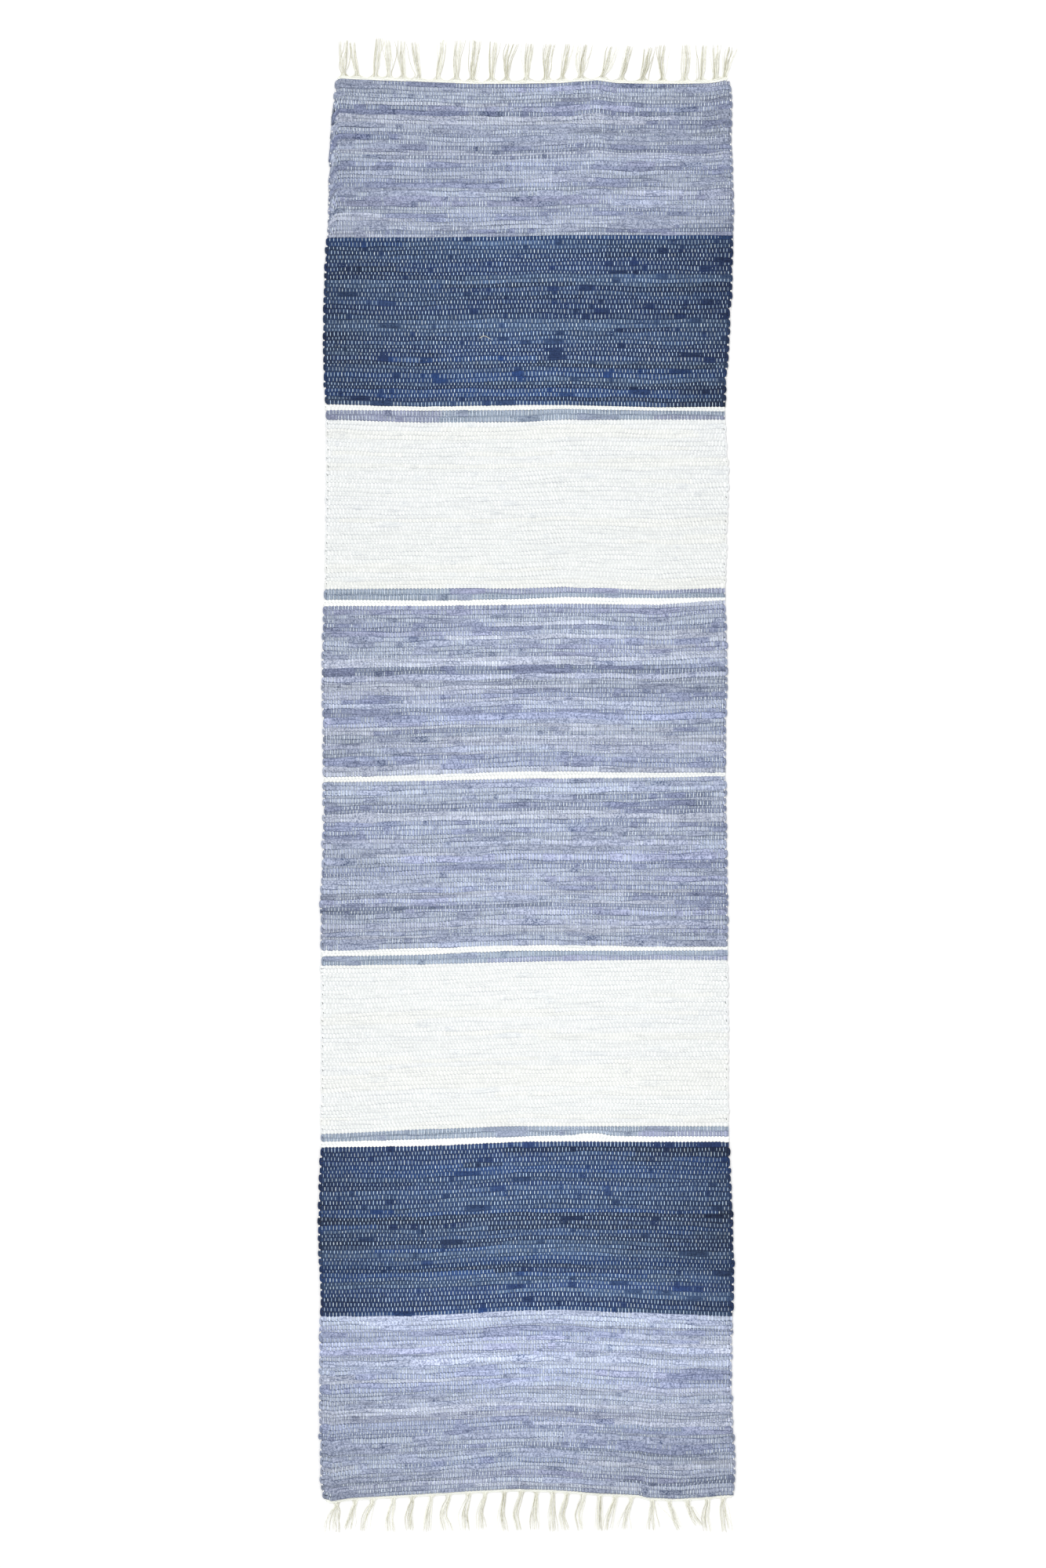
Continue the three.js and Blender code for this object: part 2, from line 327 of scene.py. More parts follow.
def row_lines(number, x):
    """The far and the near line of a row, at x."""
    row = WEAVE[number]
    far = line_between(row["band"], row["begins"], number, x)
    near = line_between(row["band"], row["ends"], number + 1, x)
    return far, near


def rows_of(piece):
    """The numbers of the rows that belong to a piece of the model."""
    return [i for i, row in enumerate(WEAVE) if BANDS[row["band"]]["piece"] == piece]


first, last = row_lines(0, 0.0), row_lines(ROWS - 1, 0.0)
print("mean row", round((first[0] - last[1]) / ROWS / MM, 2), "mm")

# %% [markdown]
# Geometry Nodes sweep a section along each strip and yarn. The guide is a chain of edges whose
# points carry what the sweep needs: the middle of the strip, its side direction, its half
# width, and how far its crest rises and its belly sinks. The tree turns the chain into a curve,
# sweeps a ring of points along it, and then places each ring point from those numbers, with a
# little noise for the lumps of a folded rag. A sweep that relied on the curve's own twist could
# roll over at the turns.

# %% A small helper to write node trees
class Nodes:
    """Adds nodes to a tree and links them."""

    def __init__(self, tree):
        self.tree = tree

    def put(self, socket, value):
        """Gives a socket another node's output, or else a plain value."""
        if isinstance(value, bpy.types.NodeSocket):
            self.tree.links.new(value, socket)
        else:
            socket.default_value = value

    def add(self, kind, inputs=None, **settings):
        """Adds a node with its settings and its inputs."""
        node = self.tree.nodes.new(kind)
        for name, value in settings.items():
            setattr(node, name, value)
        for name, value in (inputs or {}).items():
            self.put(node.inputs[name], value)
        return node

    def math(self, operation, a, b=0.0, c=0.0, clamp=False):
        inputs = {0: a, 1: b, 2: c}
        return self.add("ShaderNodeMath", inputs, operation=operation, use_clamp=clamp).outputs[0]

    def times(self, a, b):
        return self.math("MULTIPLY", a, b)

    def plus(self, a, b, clamp=False):
        return self.math("ADD", a, b, clamp=clamp)

    def minus(self, a, b, clamp=False):
        return self.math("SUBTRACT", a, b, clamp=clamp)

    def vector(self, x=0.0, y=0.0, z=0.0):
        return self.add("ShaderNodeCombineXYZ", {"X": x, "Y": y, "Z": z}).outputs[0]


# %% A helper for Geometry Nodes
SOCKETS = {
    float: "NodeSocketFloat",
    int: "NodeSocketInt",
    bpy.types.Material: "NodeSocketMaterial",
}


class Loom(Nodes):
    """Builds one Geometry Nodes tree with named inputs, and runs it on guides."""

    def __init__(self, name, kinds):
        super().__init__(bpy.data.node_groups.new(name, "GeometryNodeTree"))
        face = self.tree.interface
        face.new_socket("Guide", in_out="INPUT", socket_type="NodeSocketGeometry")
        face.new_socket("Made", in_out="OUTPUT", socket_type="NodeSocketGeometry")
        self.sockets = {}
        for label, kind in kinds.items():
            made = face.new_socket(label, in_out="INPUT", socket_type=SOCKETS[kind])
            self.sockets[label] = made.identifier
        self.given = self.add("NodeGroupInput").outputs

    def moved(self, place, by):
        return self.add("ShaderNodeVectorMath", {0: place, 1: by}, operation="ADD").outputs[0]

    def scaled(self, vector, by):
        inputs = {0: vector, "Scale": by}
        return self.add("ShaderNodeVectorMath", inputs, operation="SCALE").outputs[0]

    def read(self, name, kind="FLOAT"):
        """A named attribute of the guide."""
        node = self.add("GeometryNodeInputNamedAttribute", {"Name": name}, data_type=kind)
        return node.outputs["Attribute"]

    def store(self, geometry, name, value):
        """Adds a named attribute to the geometry."""
        inputs = {"Geometry": geometry, "Name": name, "Value": value}
        return self.add("GeometryNodeStoreNamedAttribute", inputs).outputs[0]

    def finish(self, geometry, crease=None):
        """Ends the tree: real meshes, smooth but for the creases, with their material."""
        real = self.add("GeometryNodeRealizeInstances", {"Geometry": geometry}).outputs[0]
        smooth = self.add("GeometryNodeSetShadeSmooth", {"Geometry": real}).outputs[0]
        if crease is not None:
            inputs = {"Geometry": smooth, "Selection": crease, "Shade Smooth": False}
            smooth = self.add("GeometryNodeSetShadeSmooth", inputs, domain="EDGE").outputs[0]
        inputs = {"Geometry": smooth, "Material": self.given["Material"]}
        dressed = self.add("GeometryNodeSetMaterial", inputs).outputs[0]
        self.tree.links.new(dressed, self.tree.nodes.new("NodeGroupOutput").inputs[0])

    def run(self, name, guide, **sizes):
        """Makes a plain mesh object from a guide mesh."""
        carrier = bpy.data.objects.new(name + "_guide", guide)
        bpy.context.scene.collection.objects.link(carrier)
        modifier = carrier.modifiers.new("weave", "NODES")
        modifier.node_group = self.tree
        for label, value in sizes.items():
            modifier[self.sockets[label.replace("_", " ").title()]] = value
        dressed = carrier.evaluated_get(bpy.context.evaluated_depsgraph_get())
        mesh = bpy.data.meshes.new_from_object(dressed)
        mesh.name = name
        for used in ("middle", "side", "half_width", "crest", "belly"):  # no longer needed
            if used in mesh.attributes:
                mesh.attributes.remove(mesh.attributes[used])
        bpy.data.objects.remove(carrier)
        bpy.data.meshes.remove(guide)
        piece = bpy.data.objects.new(name, mesh)
        bpy.context.scene.collection.objects.link(piece)
        return piece


# %% The tree that sweeps strips and yarns
def sweep_loom():
    """Sweeps a ring of points along each chain of the guide."""
    loom = Loom(
        "swept_strip",
        {"Sides": int, "Lump": float, "Lump Length": float, "Seed": float,
         "Material": bpy.types.Material},
    )
    given = loom.given
    path = loom.add("GeometryNodeMeshToCurve", {"Mesh": given["Guide"]}).outputs[0]
    inputs = {"Resolution": given["Sides"], "Radius": 1.0}
    ring = loom.add("GeometryNodeCurvePrimitiveCircle", inputs)
    spot = loom.add("GeometryNodeInputPosition").outputs[0]
    parts = loom.add("ShaderNodeSeparateXYZ", {"Vector": spot}).outputs
    section = loom.store(ring.outputs[0], "across", parts["Y"])
    section = loom.store(section, "up", parts["X"])
    inputs = {"Curve": path, "Profile Curve": section, "Fill Caps": True}
    tube = loom.add("GeometryNodeCurveToMesh", inputs).outputs[0]

    across, up = loom.read("across"), loom.read("up")
    along = loom.math("DIVIDE", loom.read("along"), given["Lump Length"])
    bumps = loom.add(
        "ShaderNodeTexNoise",
        {"Vector": loom.vector(along, loom.times(across, 0.7), up), "W": given["Seed"],
         "Scale": 1.0, "Detail": 1.0},
        noise_dimensions="4D",
    ).outputs[0]
    grown = loom.plus(1.0, loom.times(loom.minus(bumps, 0.5), given["Lump"]))
    wide = loom.times(across, loom.read("half_width"))
    above = loom.times(loom.math("MAXIMUM", up, 0.0), loom.read("crest"))
    below = loom.times(loom.math("MINIMUM", up, 0.0), loom.read("belly"))
    high = loom.times(loom.plus(above, below), grown)
    sideways = loom.scaled(loom.read("side", "FLOAT_VECTOR"), wide)
    place = loom.moved(loom.read("middle", "FLOAT_VECTOR"), sideways)
    place = loom.moved(place, loom.vector(z=high))
    placed = loom.add("GeometryNodeSetPosition", {"Geometry": tube, "Position": place}).outputs[0]
    side_edge = loom.math("GREATER_THAN", loom.math("ABSOLUTE", across), 0.999)
    loom.finish(placed, crease=side_edge)
    return loom


SWEEP = sweep_loom()
print("sweep tree:", len(SWEEP.tree.nodes), "nodes")

# %% [markdown]
# A guide mesh is only a chain of points with numbers on them. The same helper serves rag
# strips, heading rows and fringe yarns, so the numbers are worked out in one place: the side
# direction is square to the way the chain runs, and "along" is the length walked so far.

# %% Guides
def carry(mesh, columns):
    """Stores named numbers, or named vectors of three, on a mesh's points."""
    for key, value in columns.items():
        value = np.array(value, np.float32)
        kind, field = ("FLOAT_VECTOR", "vector") if value.ndim == 2 else ("FLOAT", "value")
        mesh.attributes.new(key, kind, "POINT").data.foreach_set(field, value.ravel())


def chain_mesh(name, chains):
    """One mesh of open chains. Each chain is a dict of arrays: x, y, z, half_width, crest,
    belly, and any more numbers that the finish wants to read."""
    spots, edges, columns = [], [], {}
    start = 0
    for chain in chains:
        middle = np.stack([chain["x"], chain["y"], chain["z"]], 1)
        step = np.gradient(middle, axis=0)
        side = np.stack([-step[:, 1], step[:, 0], np.zeros(len(step))], 1)
        side /= np.maximum(np.linalg.norm(side, axis=1, keepdims=True), 1e-9)
        walked = np.linalg.norm(np.diff(middle, axis=0), axis=1)
        rest = {k: v for k, v in chain.items() if k not in ("x", "y", "z", "starts")}
        rest["along"] = chain["starts"] + np.concatenate([[0.0], np.cumsum(walked)])
        for key, value in {**rest, "middle": middle, "side": side}.items():
            full = np.full(len(middle), value) if np.ndim(value) == 0 else value
            full = np.tile(full, (len(middle), 1)) if len(full) == 1 else full
            columns.setdefault(key, []).append(full)
        spots.append(middle)
        edges += [(i, i + 1) for i in range(start, start + len(middle) - 1)]
        start += len(middle)
    mesh = bpy.data.meshes.new(name + "_chain")
    mesh.from_pydata(np.concatenate(spots).tolist(), edges, [])
    carry(mesh, {key: np.concatenate(value) for key, value in columns.items()})
    return mesh


# %% [markdown]
# The rags. Old shirts and sheets are torn into strips, so a band is never one blue: each strip
# has its own shade, and another one where it isn't pressed flat but puffs up. The shades below
# are mixed. A strip is 0.06 to 1.4 m long, and where it ends the next one is laid in. A
# few streaks that stand out in the photograph are set one by one, and chance does the rest.

# %% The dyes
def linear(red, green, blue):
    """A screen colour from 0 to 255 as the light that a shader wants."""
    parts = [c / 255 for c in (red, green, blue)]
    return [c / 12.92 if c <= 0.04045 else ((c + 0.055) / 1.055) ** 2.4 for c in parts]


DYES = {  # pressed flat, puffed up, and how often the shade comes up
    "lavender": [
        ((165, 175, 196), (170, 178, 201), 5),
        ((162, 171, 197), (168, 174, 202), 3),
        ((166, 175, 197), (172, 180, 201), 3),
        ((172, 179, 201), (176, 183, 205), 2),
        ((181, 188, 207), (186, 192, 209), 3),
        ((150, 160, 186), (155, 163, 191), 3),
        ((136, 147, 171), (143, 151, 181), 1),
    ],
    "navy": [
        ((58, 79, 116), (51, 72, 118), 5),
        ((50, 69, 108), (44, 64, 112), 4),
        ((70, 91, 125), (58, 81, 123), 3),
        ((52, 75, 118), (43, 72, 128), 2),
        ((46, 62, 92), (42, 58, 99), 2),
    ],
    "stripe": [
        ((160, 174, 192), (168, 178, 201), 3),
        ((162, 170, 196), (171, 176, 205), 3),
    ],
    "white": [
        ((243, 246, 245), (245, 247, 247), 5),
        ((244, 246, 243), (246, 247, 244), 2),
        ((242, 245, 245), (244, 246, 247), 2),
    ],
}
# How strongly the streaks, the painted highlights and the painted shade show on a dye, how far
# its strips differ, how much darker it is at the selvedges, and how much darker its thin rows are.
CONTRAST = {"lavender": 1.0, "navy": 0.85, "stripe": 0.75, "white": 0.32}
TONE_SPREAD = {"lavender": 0.24, "navy": 0.34, "stripe": 0.10, "white": 0.012}
EDGE_FADE = {"lavender": 0.16, "navy": 0.38, "stripe": 0.12, "white": 0.03}
THIN_DARK = {"lavender": 0.35, "navy": 0.3, "stripe": 0.0, "white": 0.05}
STREAK = (0.02, 0.15)  # metres along a strip from one change of light to the next
SHORT_STRIP = (0.06, 0.40)
LONG_STRIP = (0.40, 1.40)
MOSTLY_SHORT = 0.65  # the share of short strips

# %% Streaks that stand out
STREAK_END = 6 * MM  # how softly they begin and end
NOTABLE = [  # where they lie, in millimetres, and how light they are
    dict(zip(("y", "low", "high", "height", "light"), row))
    for row in (
        (1150, -340, 350, 30, 0.90),
        (1069, -40, 350, 18, 1.10),
        (1000, 100, 340, 22, 1.08),
        (116, 60, 340, 8, 1.12),
        (-950, -350, 350, 60, 1.06),
        (-1160, 120, 350, 10, 0.84),
        (-1190, -350, 350, 50, 0.95),
        (-850, 40, 340, 20, 1.14),
        (-800, -350, 40, 12, 1.08),
    )
]


def notable_light(x, y):
    """How much lighter or darker the noted streaks make these places."""
    light = np.ones(len(x))
    for streak in NOTABLE:
        low, high, middle, half = (streak[k] * MM for k in ("low", "high", "y", "height"))
        near = np.exp(-(((y - middle) / half) ** 2))
        ends = 1 / (1 + np.exp((low - x) / STREAK_END)) / (1 + np.exp((x - high) / STREAK_END))
        light *= 1 + (streak["light"] - 1) * near * ends
    return light


# %% How a strip takes its shades
RUG_HALF_WIDTH = 0.35


def darker_at_edges(dye, x):
    """The rug's colour is a little darker towards its selvedges."""
    return 1 - EDGE_FADE[dye] * (x / RUG_HALF_WIDTH) ** 2


def dye_strips(dice, band, chain, along):
    """The pressed and the puffed shade of the rag at each point of a band's strip."""
    dye = band["dye"]
    pressed, puffed = np.zeros((len(along), 3)), np.zeros((len(along), 3))
    reached = along[0]
    while reached < along[-1]:
        strip = SHORT_STRIP if dice.random() < MOSTLY_SHORT else LONG_STRIP
        ends = reached + dice.uniform(*strip)
        here = (along >= reached) & (along <= ends)
        shade = dice.choices(DYES[dye], [s[2] for s in DYES[dye]])[0]
        light = 1 + TONE_SPREAD[dye] * dice.uniform(-0.5, 0.5)
        pressed[here] = np.array(linear(*shade[0])) * light
        puffed[here] = np.array(linear(*shade[1])) * light
        reached = ends
    knots = np.cumsum([dice.uniform(*STREAK) for _ in range(int(along[-1] / STREAK[0]))])
    lights = [dice.gauss(0.0, TONE_SPREAD[dye] / 4) for _ in knots]
    streaks = np.interp(along, knots, lights)
    share = (chain["row"] - chain["row"][0]) / band["rows"]
    depth = 0.5 + band["tone"] + (band["next_tone"] - band["tone"]) * share
    thick = np.array([WEAVE[int(row)]["height"] for row in chain["row"]])
    depth = depth * (1 + streaks) * (1 + THIN_DARK[dye] * (thick - 1))
    depth = depth * darker_at_edges(dye, chain["x"])
    if dye in ("lavender", "navy"):
        depth = depth * notable_light(chain["x"], chain["y"])
    return pressed * depth[:, None], puffed * depth[:, None]


# %% [markdown]
# The path of the weft. A band's strip enters at the right selvedge, crosses to the left, turns
# round the outermost warp yarn and comes back as the next row. The half circle at each turn is
# what makes a rag rug's scalloped edge. A strip is wide and high where it passes over a warp
# yarn, and narrow and low where it dives under the next one. The row beside it does the
# opposite, so the rows interlock and leave no gaps.

# %% The sizes of the weft
WARP_YARNS = 225
EDGE_WARP = 0.011  # the outermost warp yarn, as a share of the width
WARP_SWAY = 0.45 * MM
WEFT_HEIGHT = 3.2 * MM  # where neighbouring rows touch, above the floor
OVER = {"crest": 1.5 * MM, "belly": 1.7 * MM}  # the rag passes over a warp yarn
UNDER = {"crest": 0.3 * MM, "belly": 2.8 * MM}  # and under the next one
BULGE = 0.26  # how far it swells into the neighbouring rows, as a share of its half width
TURN_STEPS = 4
TURN_DEPTH = 0.5  # how round a turn is: 1 for a half circle, less for a flatter one
TURN_FIT = 0.97  # a turn is a little narrower than its place
TURN_HEIGHT = 0.8  # and lower than the rows
TAIL = 1.5 * MM  # a band's strip begins and ends this far inside the selvedge
LOOSE_TURN = 0.6 * MM


def selvedges_of(number):
    """The left and the right end of a row."""
    y = float(np.mean(row_lines(number, 0.0)))
    return float(left_selvedge(y)), float(right_selvedge(y))


def warp_places(number):
    """Where each warp yarn crosses a row, with its own slow sway."""
    left, right = selvedges_of(number)
    yarn = np.arange(WARP_YARNS)
    share = EDGE_WARP + (1 - 2 * EDGE_WARP) * yarn / (WARP_YARNS - 1)
    return left + (right - left) * share + WARP_SWAY * np.sin(yarn * 2.4 + number * 0.11)


# %% [markdown]
# The rag isn't pressed flat everywhere. In a nub it is twisted and hides a few warp yarns. Over
# longer stretches it puffs up, lies higher and wider than its neighbours, and hides the warp as
# well. Both are numbers from 0 to 1 at each warp yarn, drawn at random with a fixed seed. They
# shape the strip, colour it, and thin out the floats.

# %% Nubs and puffs
PUFF_SPREAD = 0.2  # how much wider a puffed place is
PUFF_LIFT = 0.8 * MM  # and how much higher
PUFF_CREST = 0.8  # how far it rises under a warp float too
STEADY = 0.7  # how far it keeps its width from one warp yarn to the next
THICK_PUFFS = 0.4  # thick rows puff up more
NUBS = ((0.30, 4, 8), (0.9, 1, 3))  # how many a row, and their half lengths in warp yarns
# How rarely a row puffs up, how often that changes along it, the share that it takes from the
# row before, and how softly a puffed place ends.
PUFFING = {
    "lavender": (0.62, 34, 0.25, 0.16),
    "navy": (0.85, 60, 0.25, 0.36),
    "stripe": (0.72, 19, 0.3, 0.2),
    "white": (2.0, 19, 0.3, 0.2),
}


def row_nubs(number):
    """Where the rag is twisted into a nub that hides the warp."""
    dice = random.Random(SEED * 77 + number)
    yarn = np.arange(WARP_YARNS)
    nubs = np.zeros(WARP_YARNS)
    for often, shortest, longest in NUBS:
        count = int(often) + (dice.random() < often % 1)
        for _ in range(count):
            centre, half = dice.uniform(0, WARP_YARNS), dice.uniform(shortest, longest)
            swell = np.clip(1.3 - ((yarn - centre) / half) ** 2, 0, 1) * dice.uniform(0.5, 1)
            nubs = np.maximum(nubs, swell)
    return nubs


def lay_out_puffs():
    """For each row, how puffed up the rag is."""
    dice = np.random.default_rng(SEED + 40)
    yarn = np.arange(WARP_YARNS)
    puffs, carried = [], 0.5
    for row in WEAVE:
        limit, count, carry, soft = PUFFING[BANDS[row["band"]]["dye"]]
        knots = np.sort(dice.uniform(-8, WARP_YARNS + 8, count))
        own = np.interp(yarn, knots, dice.random(count))
        carried = own * (1 - carry) + carried * carry
        thick = THICK_PUFFS * (row["height"] - 1)
        rise = np.clip((carried + thick - limit) / soft + 0.5, 0, 1)
        puffs.append(rise * rise * (3 - 2 * rise))
    return puffs


PUFFS = lay_out_puffs()
print("puffed up:", round(float(np.mean(PUFFS)), 3), "of the cloth")

# %% One row of the weft
def row_part(number, room_left, room_right, slack):
    """One row of the strip, from left to right."""
    left, right = selvedges_of(number)
    x = np.concatenate([[left + slack + room_left], warp_places(number),
                        [right + slack - room_right]])
    warp = np.arange(-1, WARP_YARNS + 1)
    over = (warp + number) % 2
    over[[0, -1]] = 0
    far, near = row_lines(number, x)
    nub = np.pad(row_nubs(number), 1)
    puff = np.pad(PUFFS[number], 1)
    full = np.maximum(nub, puff)
    spread = 1 + BULGE * (2 * over - 1) * (1 - STEADY * full) + PUFF_SPREAD * full
    spread[[0, -1]] = 1.0
    crest = np.where(over, OVER["crest"], UNDER["crest"])
    return {
        "x": x, "y": (far + near) / 2, "z": WEFT_HEIGHT + PUFF_LIFT * full,
        "half_width": (far - near) / 2 * spread, "warp": warp,
        "row": np.full(len(x), number), "nub": nub, "puff": puff,
        "crest": crest + (OVER["crest"] - crest) * np.maximum(nub, puff * PUFF_CREST),
        "belly": np.where(over, OVER["belly"], UNDER["belly"]) + PUFF_LIFT * full,
    }


# %% A turn at the selvedge
def turn_part(number, x, way):
    """The half circle from the end of a row back into the next one."""
    far, line = row_lines(number, x)
    _, near = row_lines(number + 1, x)
    start, end = (far + line) / 2, (line + near) / 2
    angle = np.linspace(0, math.pi, TURN_STEPS + 2)[1:-1]
    reach = (start - end) / 2
    each = np.ones(TURN_STEPS)
    return {
        "x": x + way * reach * TURN_DEPTH * np.sin(angle), "z": each * WEFT_HEIGHT,
        "y": (start + end) / 2 + reach * np.cos(angle),
        "half_width": reach * (1 - (1 - TURN_DEPTH) * np.sin(angle)) * TURN_FIT,
        "warp": each * (-2 if way < 0 else WARP_YARNS + 1), "row": each * (number + 0.5),
        "crest": each * OVER["crest"] * TURN_HEIGHT, "belly": each * UNDER["belly"] * TURN_HEIGHT,
        "nub": each * 0.0, "puff": each * 0.5,
    }


# %% The whole path of a band's strip
def weft_path(index, first_row):
    """The chain of one band's strip, with its numbers."""
    band = BANDS[index]
    dice = random.Random(SEED * 1000 + index)
    parts = []
    for i in range(band["rows"]):
        number = first_row + i
        towards_left = i % 2 == 0
        far, near = row_lines(number, 0.0)
        room = [(far - near) * TURN_DEPTH] * 2
        if i == 0:
            room[1] = TAIL
        if i == band["rows"] - 1:
            room[0 if towards_left else 1] = TAIL
        part = row_part(number, *room, dice.gauss(0.0, LOOSE_TURN))
        if towards_left:
            part = {key: value[::-1] for key, value in part.items()}
        parts.append(part)
        if i + 1 < band["rows"]:
            parts.append(turn_part(number, part["x"][-1], -1 if towards_left else 1))
    chain = {key: np.concatenate([part[key] for part in parts]) for key in parts[0]}
    chain["starts"] = 50.0 * index  # metres, so that no two strips share their noise
    chain["contrast"] = CONTRAST[band["dye"]]
    walked = np.hypot(np.diff(chain["x"]), np.diff(chain["y"])).cumsum()
    chain["pressed"], chain["puffed"] = dye_strips(dice, band, chain, np.append(0.0, walked))
    return chain


def pieces_of_bands():
    """The chains of each piece of the model, in order along the rug."""
    chains = {}
    for index, band in enumerate(BANDS):
        chains.setdefault(band["piece"], []).append(weft_path(index, band_starts[index]))
    return chains


# %% [markdown]
# The finish of the rags. It reads the two shades that the guide carries and mixes them by how
# puffed up the rag is. Long streaks follow the strip, partly the rag's own tone and partly
# painted fold highlights, and finer noise gives the slub and the thread of torn cotton. "warp"
# and "row" tell where the floats lie: over every second warp yarn, changing places from row to
# row. Beside a float, where the rag is drawn in, its colour gets painted shade, and the crown in
# between gets a painted highlight. Painted shade also lies in the creases. All noise is read
# along the strip and not in space, so it follows the rag round its turns.

# %% A helper for shader nodes
class Finish(Nodes):
    """Builds one material's nodes."""

    def __init__(self, name, roughness, specular, sheen):
        self.material = bpy.data.materials.new(name)
        self.material.use_nodes = True
        super().__init__(self.material.node_tree)
        self.shader = self.tree.nodes["Principled BSDF"].inputs
        self.shader["Roughness"].default_value = roughness
        self.shader["Specular IOR Level"].default_value = specular
        self.shader["Sheen Weight"].default_value = sheen

    def number(self, name):
        """A number that the piece carries at each point."""
        return self.add("ShaderNodeAttribute", attribute_name=name).outputs["Fac"]

    def colour(self, name):
        """A colour that the piece carries at each point."""
        return self.add("ShaderNodeAttribute", attribute_name=name).outputs["Color"]

    def noise(self, vector, scale, detail=2.0, roughness=0.5):
        inputs = {"Vector": vector, "Scale": scale, "Detail": detail, "Roughness": roughness}
        return self.add("ShaderNodeTexNoise", inputs).outputs[0]

    def between(self, value, low, high, start=0.0, end=1.0):
        """value spread from low..high to start..end, with soft ends."""
        inputs = {"Value": value, "From Min": low, "From Max": high, "To Min": start, "To Max": end}
        node = self.add("ShaderNodeMapRange", inputs, interpolation_type="SMOOTHSTEP")
        return node.outputs[0]

    def mix(self, factor, a, b, blend="MIX"):
        inputs = {0: factor, 6: a, 7: b}
        node = self.add("ShaderNodeMix", inputs, data_type="RGBA", blend_type=blend)
        return node.outputs[2]

    def grey(self, value):
        return self.add("ShaderNodeCombineColor", {0: value, 1: value, 2: value}).outputs[0]

    def bump(self, height, distance, strength):
        inputs = {"Height": height, "Distance": distance, "Strength": strength}
        return self.add("ShaderNodeBump", inputs).outputs[0]


# %% What the finish of the rags reads
class RagFinish(Finish):
    """Torn cotton cloth, folded into a strip and pressed between warp yarns."""

    def __init__(self):
        super().__init__("rag_cotton", roughness=0.92, specular=0.25, sheen=0.12)
        self.along, self.across, self.up = map(self.number, ("along", "across", "up"))
        self.puff, self.nub = self.number("puff"), self.number("nub")
        self.contrast = self.number("contrast")
        self.covered = self.math("MAXIMUM", self.nub, self.times(self.puff, 0.7))
        self.slub = self.strip_noise(0.0105, 0.6, 2.0, 0.55)
        self.thread = self.strip_noise(0.0011, 5.0, 3.0, 0.7)
        # Floats lie over even places on the face and over odd ones on the back.
        self.row, self.warp = self.number("row"), self.number("warp")
        back = self.math("LESS_THAN", self.up, 0.0)
        phase = self.plus(self.plus(self.warp, self.row), back)
        self.from_float = self.math("PINGPONG", phase, 1.0)

    def strip_noise(self, length, widths, detail=2.0, roughness=0.5):
        """Noise that is so many metres long along the strip, and so fine across it."""
        along = self.math("DIVIDE", self.along, length)
        place = self.vector(along, self.times(self.across, widths), self.up)
        return self.noise(place, 1.0, detail, roughness)

    def drift(self, length, start):
        """Noise that changes only along the strip."""
        return self.noise(self.vector(self.math("DIVIDE", self.along, length), start), 1.0)


# %% The colour of the rags, with painted highlights and painted shade
# The paler colour that lighter tone and painted crown highlights lift the dye towards.
LIGHTER_TONE_AND_HIGHLIGHT = (1.92, 1.87, 1.78, 1.0)  # the lightest crowns, against the dye
# The colour of the painted shade in the creases, against the dye.
PAINTED_CREASE_SHADE = (0.21, 0.25, 0.34, 1.0)  # the deepest creases


def rag_dye(rag):
    """Pressed or puffed, with a fold here and there that shows the other shade."""
    folds = rag.between(rag.strip_noise(0.05, 1.3, 3.0, 0.6), 0.35, 0.65, -0.2, 0.4)
    turned = rag.plus(rag.times(rag.puff, 0.8), folds, clamp=True)
    return rag.mix(turned, rag.colour("pressed"), rag.colour("puffed"))


def rag_tone_and_painted_light(rag, colour):
    """Streaks, slub and thread of the rag's tone, the streaks partly painted fold highlights, with
    painted shade beside the floats and painted highlights on the crowns between them.
    """
    streak = rag.between(rag.strip_noise(0.09, 1.5, 4.0, 0.62), 0.32, 0.68, 0.84, 1.15)
    shade = rag.times(streak, rag.between(rag.slub, 0.25, 0.72, 0.86, 1.10))
    shade = rag.times(shade, rag.between(rag.thread, 0.2, 0.8, 0.86, 1.12))
    cell = rag.vector(rag.math("ROUND", rag.warp), rag.row)
    luck = rag.add("ShaderNodeTexWhiteNoise", {"Vector": cell}).outputs["Value"]
    # Painted shade darkens the rag beside each float, and a painted highlight lightens the crown
    # between two floats, more in some places than in others.
    painted_crown_highlight = rag.times(rag.between(rag.from_float, 0.42, 0.85, 0.0, 0.46), rag.plus(luck, 0.5))
    painted_dip_and_crown = rag.plus(0.72, painted_crown_highlight)
    painted_dip_and_crown = rag.math("MULTIPLY_ADD", rag.minus(0.98, painted_dip_and_crown), rag.covered, painted_dip_and_crown)
    shade = rag.minus(rag.times(shade, painted_dip_and_crown), 1.0)
    shade = rag.math("MULTIPLY_ADD", shade, rag.contrast, 1.0)
    # Darker places are dimmed, and lighter tone and painted highlights are lifted towards a paler
    # colour.
    dimmed = rag.mix(1.0, colour, rag.grey(rag.math("MINIMUM", shade, 1.0)), "MULTIPLY")
    lighter_tone_and_highlight = rag.mix(1.0, dimmed, LIGHTER_TONE_AND_HIGHLIGHT, "MULTIPLY")
    return rag.mix(rag.minus(shade, 1.0, clamp=True), dimmed, lighter_tone_and_highlight)


